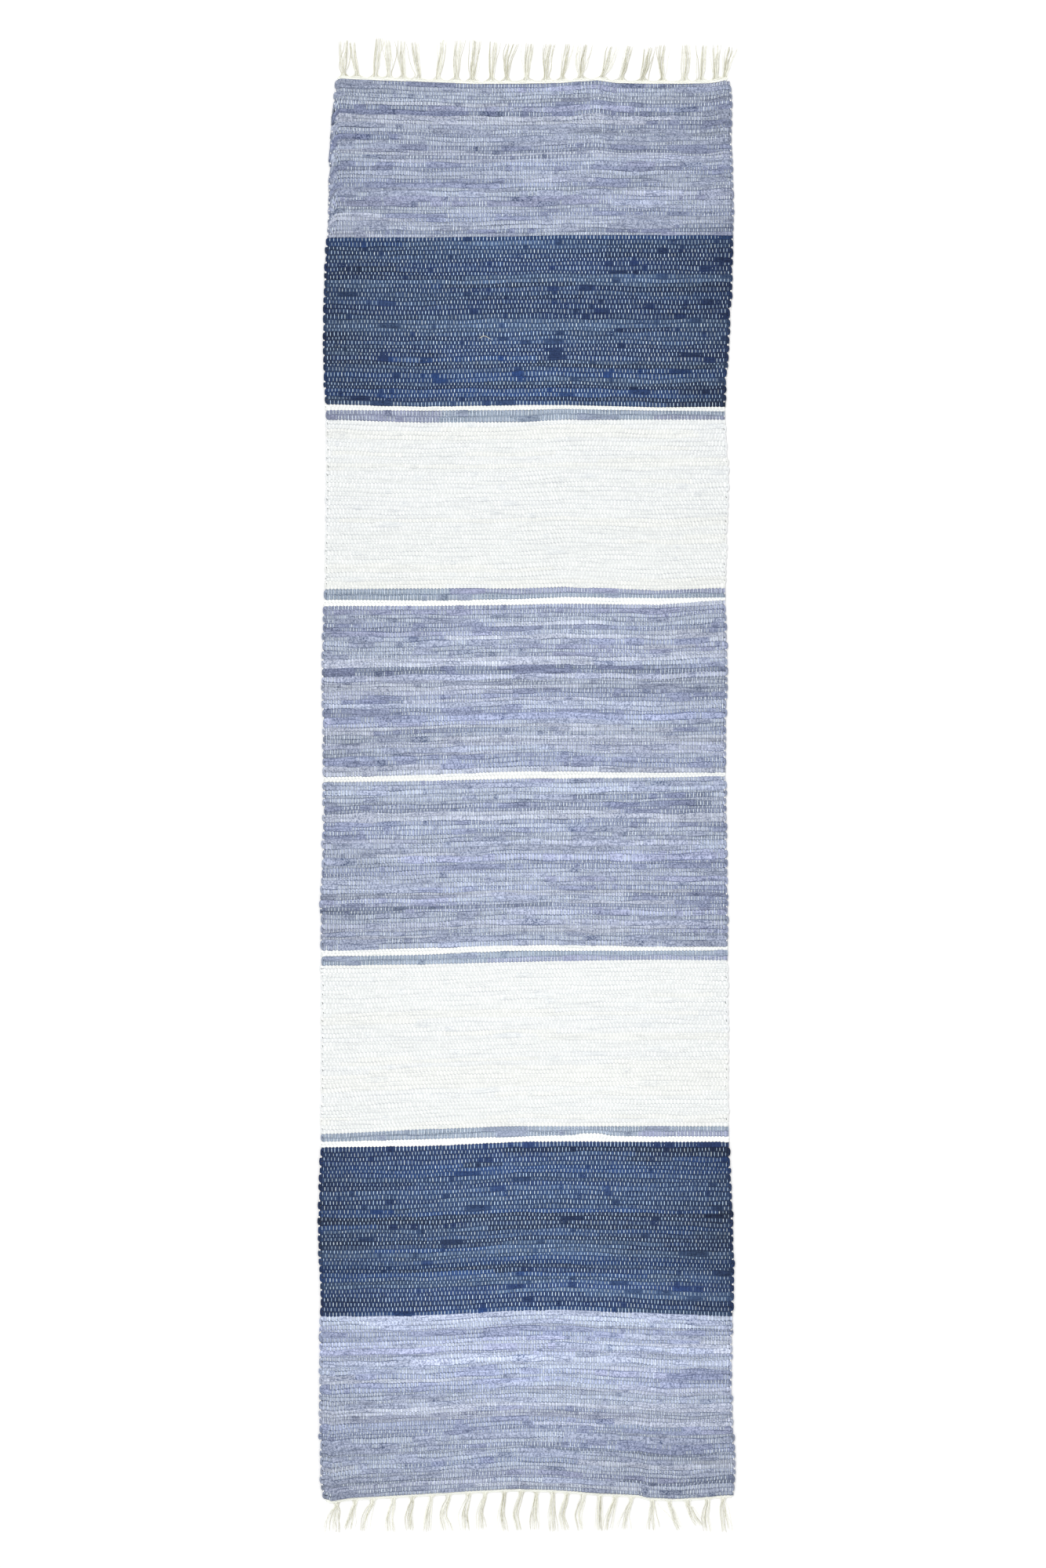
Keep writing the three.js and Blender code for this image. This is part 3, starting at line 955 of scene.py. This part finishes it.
def rag_painted_crease_shade(rag, colour):
    """Painted shade in dark lines: in the gaps where rows lie loosely against each other, along a
    fold that wanders across the strip, in the crinkles of puffed rag, and a little in the nubs."""
    # Painted shadow in the gap between loose rows, painted shade along a wandering fold and in the
    # crinkles of puffed rag, and a little in the nubs.
    loose = rag.between(rag.strip_noise(0.07, 2.6), 0.40, 0.60, 0.22, 1.0)
    painted_groove_shadow = rag.times(rag.between(rag.math("ABSOLUTE", rag.across), 0.64, 0.9), loose)
    fold_line = rag.math("MULTIPLY_ADD", rag.drift(0.05, 7.3), 4.0, -2.0)
    off_fold = rag.math("ABSOLUTE", rag.minus(rag.across, fold_line))
    folded = rag.between(rag.drift(0.07, 3.1), 0.46, 0.6, 0.0, 0.7)
    folded = rag.times(rag.between(off_fold, 0.06, 0.24, 1.0, 0.0), folded)
    painted_wrinkle_shade = rag.between(rag.strip_noise(0.0028, 1.35, 2.0, 0.65), 0.45, 0.62, 0.0, 0.95)
    painted_wrinkle_shade = rag.times(painted_wrinkle_shade, rag.math("MULTIPLY_ADD", rag.covered, 0.9, 0.12))
    painted_shade = rag.math("MAXIMUM", painted_groove_shadow, rag.math("MAXIMUM", folded, painted_wrinkle_shade))
    painted_shade = rag.plus(painted_shade, rag.times(rag.nub, 0.2), clamp=True)
    deep = rag.mix(1.0, colour, PAINTED_CREASE_SHADE, "MULTIPLY")
    return rag.mix(rag.times(painted_shade, rag.contrast), colour, deep)


# %% The finish of the rags
def rag_finish():
    """The whole finish, with a slight relief of pillows between the floats."""
    rag = RagFinish()
    rag.put(rag.shader["Base Color"], rag_painted_crease_shade(rag, rag_tone_and_painted_light(rag, rag_dye(rag))))
    height = rag.plus(rag.between(rag.from_float, 0.1, 1.0), rag.times(rag.slub, 0.6))
    height = rag.plus(height, rag.times(rag.thread, 0.35))
    rag.put(rag.shader["Normal"], rag.bump(height, 0.35 * MM, 0.9))
    print("rag finish:", len(rag.tree.nodes), "nodes")
    return rag.material


RAG = rag_finish()

# %% [markdown]
# Every piece gets a map that lies flat like the rug: the faces that look up on one half, the
# faces that look down on the other. It keeps the weave sharp when the finish is baked.

# %% A flat map, and how a piece joins the model
def lay_flat_map(piece):
    """Gives a piece its own map, seen from above and from below."""
    mesh = piece.data
    spots = np.empty(len(mesh.vertices) * 3, np.float32)
    mesh.vertices.foreach_get("co", spots)
    spots = spots.reshape(-1, 3)
    corner = np.empty(len(mesh.loops), np.int32)
    mesh.loops.foreach_get("vertex_index", corner)
    normal = np.empty(len(mesh.polygons) * 3, np.float32)
    mesh.polygons.foreach_get("normal", normal)
    sizes = np.empty(len(mesh.polygons), np.int32)
    mesh.polygons.foreach_get("loop_total", sizes)
    looks_up = np.repeat(normal.reshape(-1, 3)[:, 2] >= 0, sizes)
    low, high = spots.min(0), spots.max(0)
    unit = (spots[corner] - low) / (high - low)
    margin = 0.004  # kept free round each half of the map
    u = margin + (1 - 2 * margin) * unit[:, 0]
    v = (margin + (1 - 2 * margin) * unit[:, 1] + looks_up) / 2
    layer = mesh.uv_layers.new(name="OFBake")
    layer.uv.foreach_set("vector", np.stack([u, v], 1).astype(np.float32).ravel())


def triangles(piece):
    """How many triangles a piece has."""
    return sum(len(face.vertices) - 2 for face in piece.data.polygons)


def join_model(piece, slot, *nodes):
    """Rides the piece on the rug, for these nodes of the solid model."""
    lay_flat_map(piece)
    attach(piece, "root")
    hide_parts(*nodes)
    print(piece.name, triangles(piece), "triangles")
    return piece


# %% The rag rows
wefts = {}
for number, (name, chains) in enumerate(pieces_of_bands().items()):
    weft = SWEEP.run(
        "weft_" + name, chain_mesh(name, chains), sides=4, lump=0.5, lump_length=0.012,
        seed=1.0 + number, material=RAG,
    )
    wefts[name] = join_model(weft, "rag_weave", "cloth")

# %% [markdown]
# The warp floats. A float is one short stretch of cotton yarn that crosses over a rag row and
# dives again between the rows. There are tens of thousands, so each is only a few faces, and
# Geometry Nodes put one on every point, turned and sized by the point's own numbers. A point
# lies just over the drawn-in rag, so the float's ends meet the rag and its middle arches clear
# of it. The back of the rug has its own floats, flatter ones, in the places between.

# %% The tree that lays the floats
def float_loom():
    """Sets a small arched stretch of yarn on each point."""
    loom = Loom(
        "warp_floats",
        {"Grid Rows": int, "End Drop": float, "Width": float, "Rise": float,
         "Material": bpy.types.Material},
    )
    given = loom.given
    grid = loom.add(
        "GeometryNodeMeshGrid",
        {"Size X": 1.0, "Size Y": 1.0, "Vertices X": 2, "Vertices Y": given["Grid Rows"]},
    ).outputs[0]
    spot = loom.add("GeometryNodeInputPosition").outputs[0]
    parts = loom.add("ShaderNodeSeparateXYZ", {"Vector": spot}).outputs
    out = loom.math("POWER", loom.times(parts["Y"], 2.0), 2.0)  # 0 in the middle, 1 at the ends
    arch = loom.minus(1.0, loom.times(out, given["End Drop"]))
    taper = loom.minus(1.0, loom.times(out, 0.35))
    place = loom.vector(loom.times(parts["X"], taper), parts["Y"], arch)
    one = loom.add("GeometryNodeSetPosition", {"Geometry": grid, "Position": place}).outputs[0]

    points = loom.add("GeometryNodeMeshToPoints", {"Mesh": given["Guide"]}).outputs[0]
    roll = loom.times(loom.minus(1.0, loom.read("face_up")), math.pi / 2)
    pose = loom.add("FunctionNodeEulerToRotation", {0: loom.vector(y=roll, z=loom.read("turn"))})
    wide = loom.times(loom.read("girth"), given["Width"])
    size = loom.vector(wide, loom.read("length"), given["Rise"])
    inputs = {"Points": points, "Instance": one, "Rotation": pose.outputs[0], "Scale": size}
    loom.finish(loom.add("GeometryNodeInstanceOnPoints", inputs).outputs[0])
    return loom


FLOATS = float_loom()
print("float tree:", len(FLOATS.tree.nodes), "nodes")

# %% The sizes and the tints of the floats
FLOAT_LENGTH = {"lavender": 0.84, "navy": 0.74, "stripe": 0.78, "white": 0.75}  # of a row's height
FLOAT_GIRTH = {"lavender": 1.1, "navy": 1.08, "stripe": 1.08, "white": 1.0}
FLOAT_SWAY = 0.12 * MM
LEAST_GIRTH = 0.45  # a float that is thinner than this is hidden by the rag
FLOAT_TINTS = {  # the rags' dye rubs off on the pale warp
    "lavender": (0.80, 0.89, 1.0), "navy": (0.58, 0.76, 1.0), "stripe": (0.78, 0.87, 1.0),
    "white": (0.94, 0.95, 0.95),
}
CLEAN_TINTS = {  # and some floats stay clean
    "lavender": (0.86, 0.93, 1.0), "navy": (0.82, 0.92, 1.0), "stripe": (0.86, 0.93, 1.0),
    "white": (0.96, 0.97, 0.97),
}
FLOAT_SEAT = {  # the height of the floats' points, on the face and on the back
    1: WEFT_HEIGHT + UNDER["crest"] + 0.15 * MM,
    -1: WEFT_HEIGHT - OVER["belly"] - 0.15 * MM,
}
GAP_INSIDE = 2.6 * MM  # between two turns a little of the outermost warp yarn shows
GAP_OFTEN = 0.8
GAP_HEIGHT = WEFT_HEIGHT + 1.2 * MM

# %% Where the floats lie
def row_floats(row, face_up, dice):
    """The places, the sizes and the tints of one row's floats, on the face (1) or back (-1)."""
    dye = BANDS[WEAVE[row]["band"]]["dye"]
    first = row % 2 if face_up > 0 else (row + 1) % 2
    x = warp_places(row)[first::2]
    x = x + dice.normal(0, FLOAT_SWAY, len(x))
    far, near = row_lines(row, x)
    length = (far - near) * FLOAT_LENGTH[dye] * dice.normal(1, 0.06, len(x))
    turn = dice.normal(0, 0.03, len(x))
    girth = dice.normal(1, 0.2, len(x)).clip(0.5, 1.5) * dice.normal(FLOAT_GIRTH[dye], 0.1)
    if face_up > 0:
        nub, puff = row_nubs(row)[first::2], PUFFS[row][first::2]
        girth = girth * (1 - 0.9 * nub) * (1 - 0.55 * puff)
    seen = girth > LEAST_GIRTH
    spots = np.stack([x, (far + near) / 2, np.full(len(x), FLOAT_SEAT[face_up])], 1)
    sizes = np.stack([length, turn, girth, dice.random(len(x))], 1)
    clean = 0.9 * dice.random((len(x), 1)) ** 2.0
    dyed, undyed = np.array(FLOAT_TINTS[dye]), np.array(CLEAN_TINTS[dye])
    tints = (dyed * (1 - clean) + undyed * clean) * darker_at_edges(dye, x)[:, None] ** 0.7
    return spots[seen], sizes[seen], tints[seen]


def gap_floats(rows, dice):
    """The same of the outermost warp yarn, where it shows between two turns."""
    for row in rows[:-1]:
        if WEAVE[row]["band"] != WEAVE[row + 1]["band"] or dice.random() > GAP_OFTEN:
            continue
        place = row - band_starts[WEAVE[row]["band"]]
        left, right = selvedges_of(row)
        x = right - GAP_INSIDE if place % 2 == 0 else left + GAP_INSIDE
        line = float(row_lines(row, x)[1])
        sizes = [dice.uniform(1.8, 3.2) * MM, 0.0, dice.uniform(1.2, 1.8), 0.0]
        yield np.array([[x, line, GAP_HEIGHT]]), np.array([sizes]), np.ones((1, 3))


def float_points(name, rows, face_up):
    """The guide of the floats of some rows: points that carry each float's numbers."""
    dice = np.random.default_rng(SEED + rows[0] + (0 if face_up > 0 else 5000))
    found = [row_floats(row, face_up, dice) for row in rows]
    if face_up > 0:
        found += gap_floats(rows, dice)
    spots, sizes, tints = (np.concatenate(part) for part in zip(*found))
    mesh = bpy.data.meshes.new(name + "_points")
    mesh.from_pydata(spots.tolist(), [], [])
    carry(mesh, dict(zip(("length", "turn", "girth", "shade"), sizes.T)))
    carry(mesh, {"face_up": np.full(len(spots), face_up), "tint": tints})
    return mesh


# %% [markdown]
# The finish of the cotton yarn. The warp, the heading and the fringe are the same pale undyed
# cotton, matt and a little cloudy. Each yarn carries its own "shade", which mixes its colour from
# the light one towards a shadowed one: partly the yarn's own tone, partly painted shade. It also
# carries a "tint", which is the dye that has rubbed off on it. The fine noise is read in the
# object's own space, because a yarn is too thin to show which way it runs.

# %% The finish of the cotton yarn
def yarn_finish(name, colour, shadow, cloudiness=0.2):
    """Plied cotton: pale and matt, each yarn with its own tone and painted shade."""
    finish = Finish(name, roughness=0.85, specular=0.3, sheen=0.1)
    place = finish.add("ShaderNodeTexCoord").outputs["Object"]
    cloudy = finish.between(finish.noise(place, 260.0, 2.0), 0.35, 0.7, -cloudiness, cloudiness)
    fine = finish.noise(place, 2400.0, 2.0, 0.7)
    factor = finish.plus(cloudy, finish.number("shade"), clamp=True)
    cotton = finish.mix(factor, (*linear(*colour), 1.0), (*linear(*shadow), 1.0))
    cotton = finish.mix(1.0, cotton, finish.colour("tint"), "MULTIPLY")
    finish.put(finish.shader["Base Color"], cotton)
    finish.put(finish.shader["Normal"], finish.bump(fine, 0.25 * MM, 0.6))
    return finish.material


WARP = yarn_finish("warp_cotton", (253, 253, 252), (242, 243, 242))

# %% The warp floats
def join(pieces, name):
    """Joins plain meshes into the first one."""
    bpy.ops.object.select_all(action="DESELECT")
    for piece in pieces:
        piece.select_set(True)
    bpy.context.view_layer.objects.active = pieces[0]
    bpy.ops.object.join()
    pieces[0].name = name
    pieces[0].data.name = name
    return pieces[0]


FLOAT_WIDTH = 1.08 * MM
for name in wefts:
    rows = rows_of(name)
    front = FLOATS.run("face_" + name, float_points(name, rows, 1), grid_rows=3, end_drop=1.0,
                       rise=0.75 * MM, width=FLOAT_WIDTH, material=WARP)
    back = FLOATS.run("back_" + name, float_points(name, rows, -1), grid_rows=2, end_drop=0.1,
                      rise=0.4 * MM, width=FLOAT_WIDTH, material=WARP)
    join_model(join([front, back], "floats_" + name), "cotton_warp", "cloth")

# %% [markdown]
# The ends. Past the last rag row the weaver beats in a few rows of the warp's own cotton, and
# outside these the warp ends hang free, gathered into 23 locks at each end. Every lock lay
# down in its own way, so a short table gives each one's path in millimetres: where it leaves the
# heading, where it lies half way out, where its tip lies and how far along the rug it reaches,
# and how wide it is in its body and at its tip.

# %% The table of locks
LOCK = ("root", "middle", "tip", "reach", "body", "splay")
FAR_LOCKS = [
    dict(zip(LOCK, row))
    for row in (
        (-316, -316, -315, 1281, 13, 13), (-291, -299, -301, 1278, 9, 9),
        (-260, -256, -252, 1285, 8, 12), (-237, -237, -240, 1282, 9, 8),
        (-212, -216, -215, 1282, 8, 8), (-185, -192, -195, 1278, 8, 9),
        (-153, -148, -146, 1282, 8, 11), (-121, -119, -114, 1281, 9, 11),
        (-93, -91, -88, 1282, 11, 11), (-60, -58, -55, 1279, 9, 10), (-34, -33, -24, 1275, 10, 12),
        (-1, 0, 3, 1277, 9, 8), (33, 36, 41, 1275, 9, 9), (61, 68, 73, 1275, 9, 11),
        (92, 94, 100, 1274, 13, 12), (130, 142, 148, 1271, 12, 11), (163, 171, 177, 1273, 8, 9),
        (199, 207, 212, 1270, 8, 10), (234, 234, 238, 1274, 10, 13), (271, 275, 275, 1274, 9, 9),
        (300, 303, 305, 1273, 8, 10), (326, 326, 326, 1273, 8, 12), (341, 345, 351, 1270, 9, 12),
    )
]
NEAR_LOCKS = [
    dict(zip(LOCK, row))
    for row in (
        (-326, -333, -333, -1284, 15, 15), (-294, -302, -307, -1281, 9, 12),
        (-263, -276, -279, -1282, 8, 8), (-229, -237, -235, -1284, 9, 9),
        (-196, -202, -199, -1282, 9, 8), (-163, -170, -173, -1284, 8, 8),
        (-133, -144, -137, -1282, 9, 12), (-99, -108, -105, -1282, 9, 8),
        (-70, -80, -78, -1281, 9, 11), (-38, -43, -38, -1284, 8, 8), (-9, -20, -14, -1281, 8, 8),
        (17, 13, 15, -1282, 9, 8), (45, 43, 45, -1284, 8, 8), (70, 61, 68, -1281, 8, 8),
        (98, 89, 95, -1281, 8, 8), (126, 125, 126, -1282, 8, 8), (153, 144, 140, -1281, 8, 8),
        (181, 171, 170, -1281, 9, 17), (216, 215, 216, -1281, 8, 11), (245, 254, 262, -1281, 8, 8),
        (276, 286, 297, -1273, 9, 10), (312, 308, 312, -1284, 8, 8), (338, 340, 343, -1284, 11, 11),
    )
]
STRAYS = [  # single yarns outside their lock: the end, the root's x, and the tip's x and y
    (1, 3, 11, 1264), (1, 209, 218, 1254), (1, 292, 292, 1272),
    (-1, 218, 229, -1279), (-1, 222, 255, -1268),
]

# %% [markdown]
# A lock is a dozen loose yarns. They come out of the heading side by side, are drawn together in
# a neck, and cross each other on their way to the tips. Each yarn's path is a smooth run through
# a few places, and its ends lie level on the floor. The sweep that made the rag rows makes the
# yarns as well: only the numbers on the guide differ.

# %% The sizes of the yarns
YARNS_PER_LOCK = 13
# These differ between the far end (1) and the near one (-1).
YARN_HALF_WIDTH = {1: 0.44 * MM, -1: 0.41 * MM}
# How far each yarn's colour goes towards the shadowed one: its own tone and painted shade.
YARN_SHADES = {1: (0.0, 0.2, 0.7, 1.2), -1: (0.0, 0.0, 0.2, 0.9)}
SPREADING = {1: 1.2, -1: 1.15}
ROOT_SPREAD = {1: 32 * MM, -1: 15 * MM}
HEADING_PITCH = {1: 2.1 * MM, -1: 1.65 * MM}
HEADING_ROWS = 3
WISPY = 2 * MM  # how much wider the thin outer yarns make a lock
NECK_SPREAD = 6.6 * MM
NECK_REACH = 8 * MM
NECK_DRIFT = 0.15  # how far the neck has moved from the root towards the lock's middle
ROOT_SINK = 1.6 * MM  # how deep a root runs into the heading
ROOT_HEIGHT = 1.9 * MM
TIP_HEIGHT = 0.75 * MM
YARN_STEPS = 16
PLAIN = np.ones((1, 3))  # no dye on the yarns outside the cloth
END_Y = 1.21  # about where the cloth ends


def end_line(outward, x):
    """The y of the cloth's end at x."""
    return far_end(x) if outward > 0 else near_end(x)


def heading_edge(outward, x):
    """The y of the heading's outer edge at x."""
    return float(end_line(outward, x)) + outward * HEADING_ROWS * HEADING_PITCH[outward]


# %% The path of one yarn
def smooth_path(knots, steps):
    """Points on a smooth run through the knots."""
    knots = np.array(knots)
    reach = np.linspace(0, 1, len(knots))
    slope = np.gradient(knots, reach, axis=0)
    at = np.linspace(0, 1, steps)
    i = np.minimum((at * (len(knots) - 1)).astype(int), len(knots) - 2)
    step = reach[1]
    t = ((at - reach[i]) / step)[:, None]
    a, b, m, n = knots[i], knots[i + 1], slope[i] * step, slope[i + 1] * step
    return a + (b - a) * (3 - 2 * t) * t * t + m * t * (1 - t) ** 2 - n * t * t * (1 - t)


def yarn_chain(knots, outward, dice):
    """The guide of one fringe yarn: a little wavy, and thinner towards its tip."""
    path = smooth_path(knots, YARN_STEPS)
    share = np.linspace(0, 1, YARN_STEPS)
    path[:, 0] += 0.7 * MM * np.sin(share * dice.uniform(4, 14) + dice.uniform(0, 6)) * share
    half = YARN_HALF_WIDTH[outward] * dice.gauss(1, 0.1) * (1 - 0.5 * share ** 5)
    # The yarn's painted shade fades out towards its root.
    return {
        "x": path[:, 0], "y": path[:, 1], "z": path[:, 2], "half_width": half,
        "crest": half * 0.92, "belly": half * 0.92, "tint": PLAIN, "starts": dice.uniform(0, 9),
        "shade": dice.choice(YARN_SHADES[outward]) * np.clip(share * 6 - 0.3, 0, 1),
    }


# %% The yarns of a lock
def lock_chains(lock, outward, dice):
    """The yarns of one lock, from the heading through the neck to the tips."""
    root_x, middle_x, tip_x, tip_y, body, splay = (lock[key] * MM for key in LOCK)
    body = body * SPREADING[outward] + WISPY
    splay = splay * SPREADING[outward] + WISPY
    low = left_selvedge(outward * END_Y) + 2 * MM
    high = right_selvedge(outward * END_Y) - 2 * MM
    neck_x = root_x * (1 - NECK_DRIFT) + middle_x * NECK_DRIFT
    chains = []
    for i in range(YARNS_PER_LOCK):
        place = (i + 0.5) / YARNS_PER_LOCK - 0.5
        mixed = place + dice.gauss(0, 0.12)
        strayed = mixed + dice.gauss(0, 0.2)
        fanned = math.copysign(abs(2 * place) ** 1.9, place) / 2 + dice.gauss(0, 0.05)
        root = float(np.clip(root_x + fanned * ROOT_SPREAD[outward], low, high))
        edge = heading_edge(outward, root)
        reach = tip_y - outward * abs(dice.gauss(0, 3.4 * MM)) + outward * 1.5 * MM
        layer = dice.uniform(0.7, 2.6) * MM
        neck = neck_x + mixed * NECK_SPREAD
        half_way = middle_x + (mixed + strayed) / 2 * body
        spread = strayed * (splay + body) * 0.5
        chains.append(yarn_chain([
            (root, edge - outward * ROOT_SINK, ROOT_HEIGHT),
            (root * 0.6 + neck * 0.4, edge + outward * 0.5 * MM, 1.4 * MM),
            (root * 0.2 + neck * 0.8, edge + outward * 2.9 * MM, layer * 0.5 + 1.0 * MM),
            (neck, edge + outward * NECK_REACH, layer + 0.3 * MM),
            (middle_x * 0.45 + neck_x * 0.55 + mixed * body * 0.85, edge * 0.7 + reach * 0.3, layer),
            (half_way, edge * 0.42 + reach * 0.58, layer),
            (tip_x * 0.5 + middle_x * 0.5 + spread, edge * 0.2 + reach * 0.8, layer * 0.8),
            (tip_x + strayed * splay, reach, TIP_HEIGHT),
        ], outward, dice))
    return chains


def stray_chain(root, tip_x, tip_y, outward, dice):
    """A single yarn that lies apart from its lock."""
    root, tip_x, tip_y = root * MM, tip_x * MM, tip_y * MM
    edge = heading_edge(outward, root)
    return yarn_chain([
        (root, edge - outward * ROOT_SINK, ROOT_HEIGHT),
        (root * 0.8 + tip_x * 0.2, edge * 0.75 + tip_y * 0.25, 1.2 * MM),
        (root * 0.4 + tip_x * 0.6, edge * 0.4 + tip_y * 0.6, 0.9 * MM),
        (tip_x, tip_y, TIP_HEIGHT),
    ], outward, dice)


# %% The rows of the heading
HEADING_STEPS = 460
PLY = 6.2 * MM  # from one twist of a heading row to the next


def heading_chains(outward, dice):
    """The fine cotton rows that hold the last rag row, lower towards the fringe."""
    low = left_selvedge(outward * END_Y) + 3 * MM
    high = right_selvedge(outward * END_Y) - 3 * MM
    pitch = HEADING_PITCH[outward]
    chains = []
    for i in range(HEADING_ROWS):
        left, right = low + dice.uniform(0, 2) * MM, high - dice.uniform(0, 2) * MM
        x = np.linspace(left, right, HEADING_STEPS)
        away = (i + 0.6) * pitch
        # Each heading row twists: it swells where the pulse is high, and gets painted shade where it
        # narrows.
        pulse = 1 + 0.2 * np.sin(x / PLY * 2 * math.pi + math.pi * i)
        chains.append({
            "x": x, "y": end_line(outward, x) + outward * away + 0.12 * MM * np.sin(x * 160 + 2 * i),
            "z": np.full(len(x), (1.6 - 0.4 * i) * MM), "half_width": pitch * 0.56 * pulse,
            "crest": (0.8 - 0.15 * i) * MM * pulse, "belly": (1.4 - 0.4 * i) * MM,
            "tint": PLAIN, "shade": 0.9 * (1.2 - pulse) * 2.5 * dice.uniform(0.5, 1),
            "starts": dice.uniform(0, 9),
        })
    return chains


# %% The fringes
FRINGE = yarn_finish("fringe_cotton", (254, 254, 243), (204, 202, 180))
HEADING = yarn_finish("heading_cotton", (253, 254, 248), (243, 245, 235))
for node, locks, outward in (("fringe_far", FAR_LOCKS, 1), ("fringe_near", NEAR_LOCKS, -1)):
    dice = random.Random(SEED + outward)
    chains = [chain for lock in locks for chain in lock_chains(lock, outward, dice)]
    for end, root, tip_x, tip_y in STRAYS:
        if end == outward:
            chains.append(stray_chain(root, tip_x, tip_y, outward, dice))
    locks_made = SWEEP.run(
        "locks_" + node, chain_mesh(node, chains), sides=5, lump=0.3, lump_length=0.004, seed=3.0,
        material=FRINGE,
    )
    join_model(locks_made, "cotton_warp", node)
    heading = SWEEP.run(
        "heading_" + node, chain_mesh(node, heading_chains(outward, dice)), sides=6, lump=0.3,
        lump_length=0.002, seed=4.0, material=HEADING,
    )
    join_model(heading, "cotton_warp", node)

# %% [markdown]
# One short thread lies loose on the far navy band in the photograph. It is a fringe yarn too,
# on a path of its own.

# %% A loose thread
THREAD_HEIGHT = WEFT_HEIGHT + 2.0 * MM
THREAD = [(-80.5, 768.5), (-77.0, 771.5), (-71.5, 772.5), (-66.5, 770.0), (-61.0, 766.5)]
thread_knots = [(x * MM, y * MM, THREAD_HEIGHT) for x, y in THREAD]
thread_chain = yarn_chain(thread_knots, 1, random.Random(SEED))
thread_chain["shade"] = 0.5
thread = SWEEP.run(
    "loose_thread", chain_mesh("thread", [thread_chain]), sides=5, lump=0.2, lump_length=0.004,
    seed=5.0, material=FRINGE,
)
join_model(thread, "cotton_warp", "cloth")

# %% [markdown]
# A rug is a sheet of cloth. The rug lies flat, so a piece's flat length is the mean distance
# from its first row line to its last.

# %% The sheets
places = np.linspace(end_xs[0], end_xs[-1], 60)
for name, weft in wefts.items():
    rows = rows_of(name)
    begin, end = row_lines(rows[0], places)[0], row_lines(rows[-1], places)[1]
    length = round(float(np.mean(begin - end)), 3)
    print(name, "lies", length, "m long")
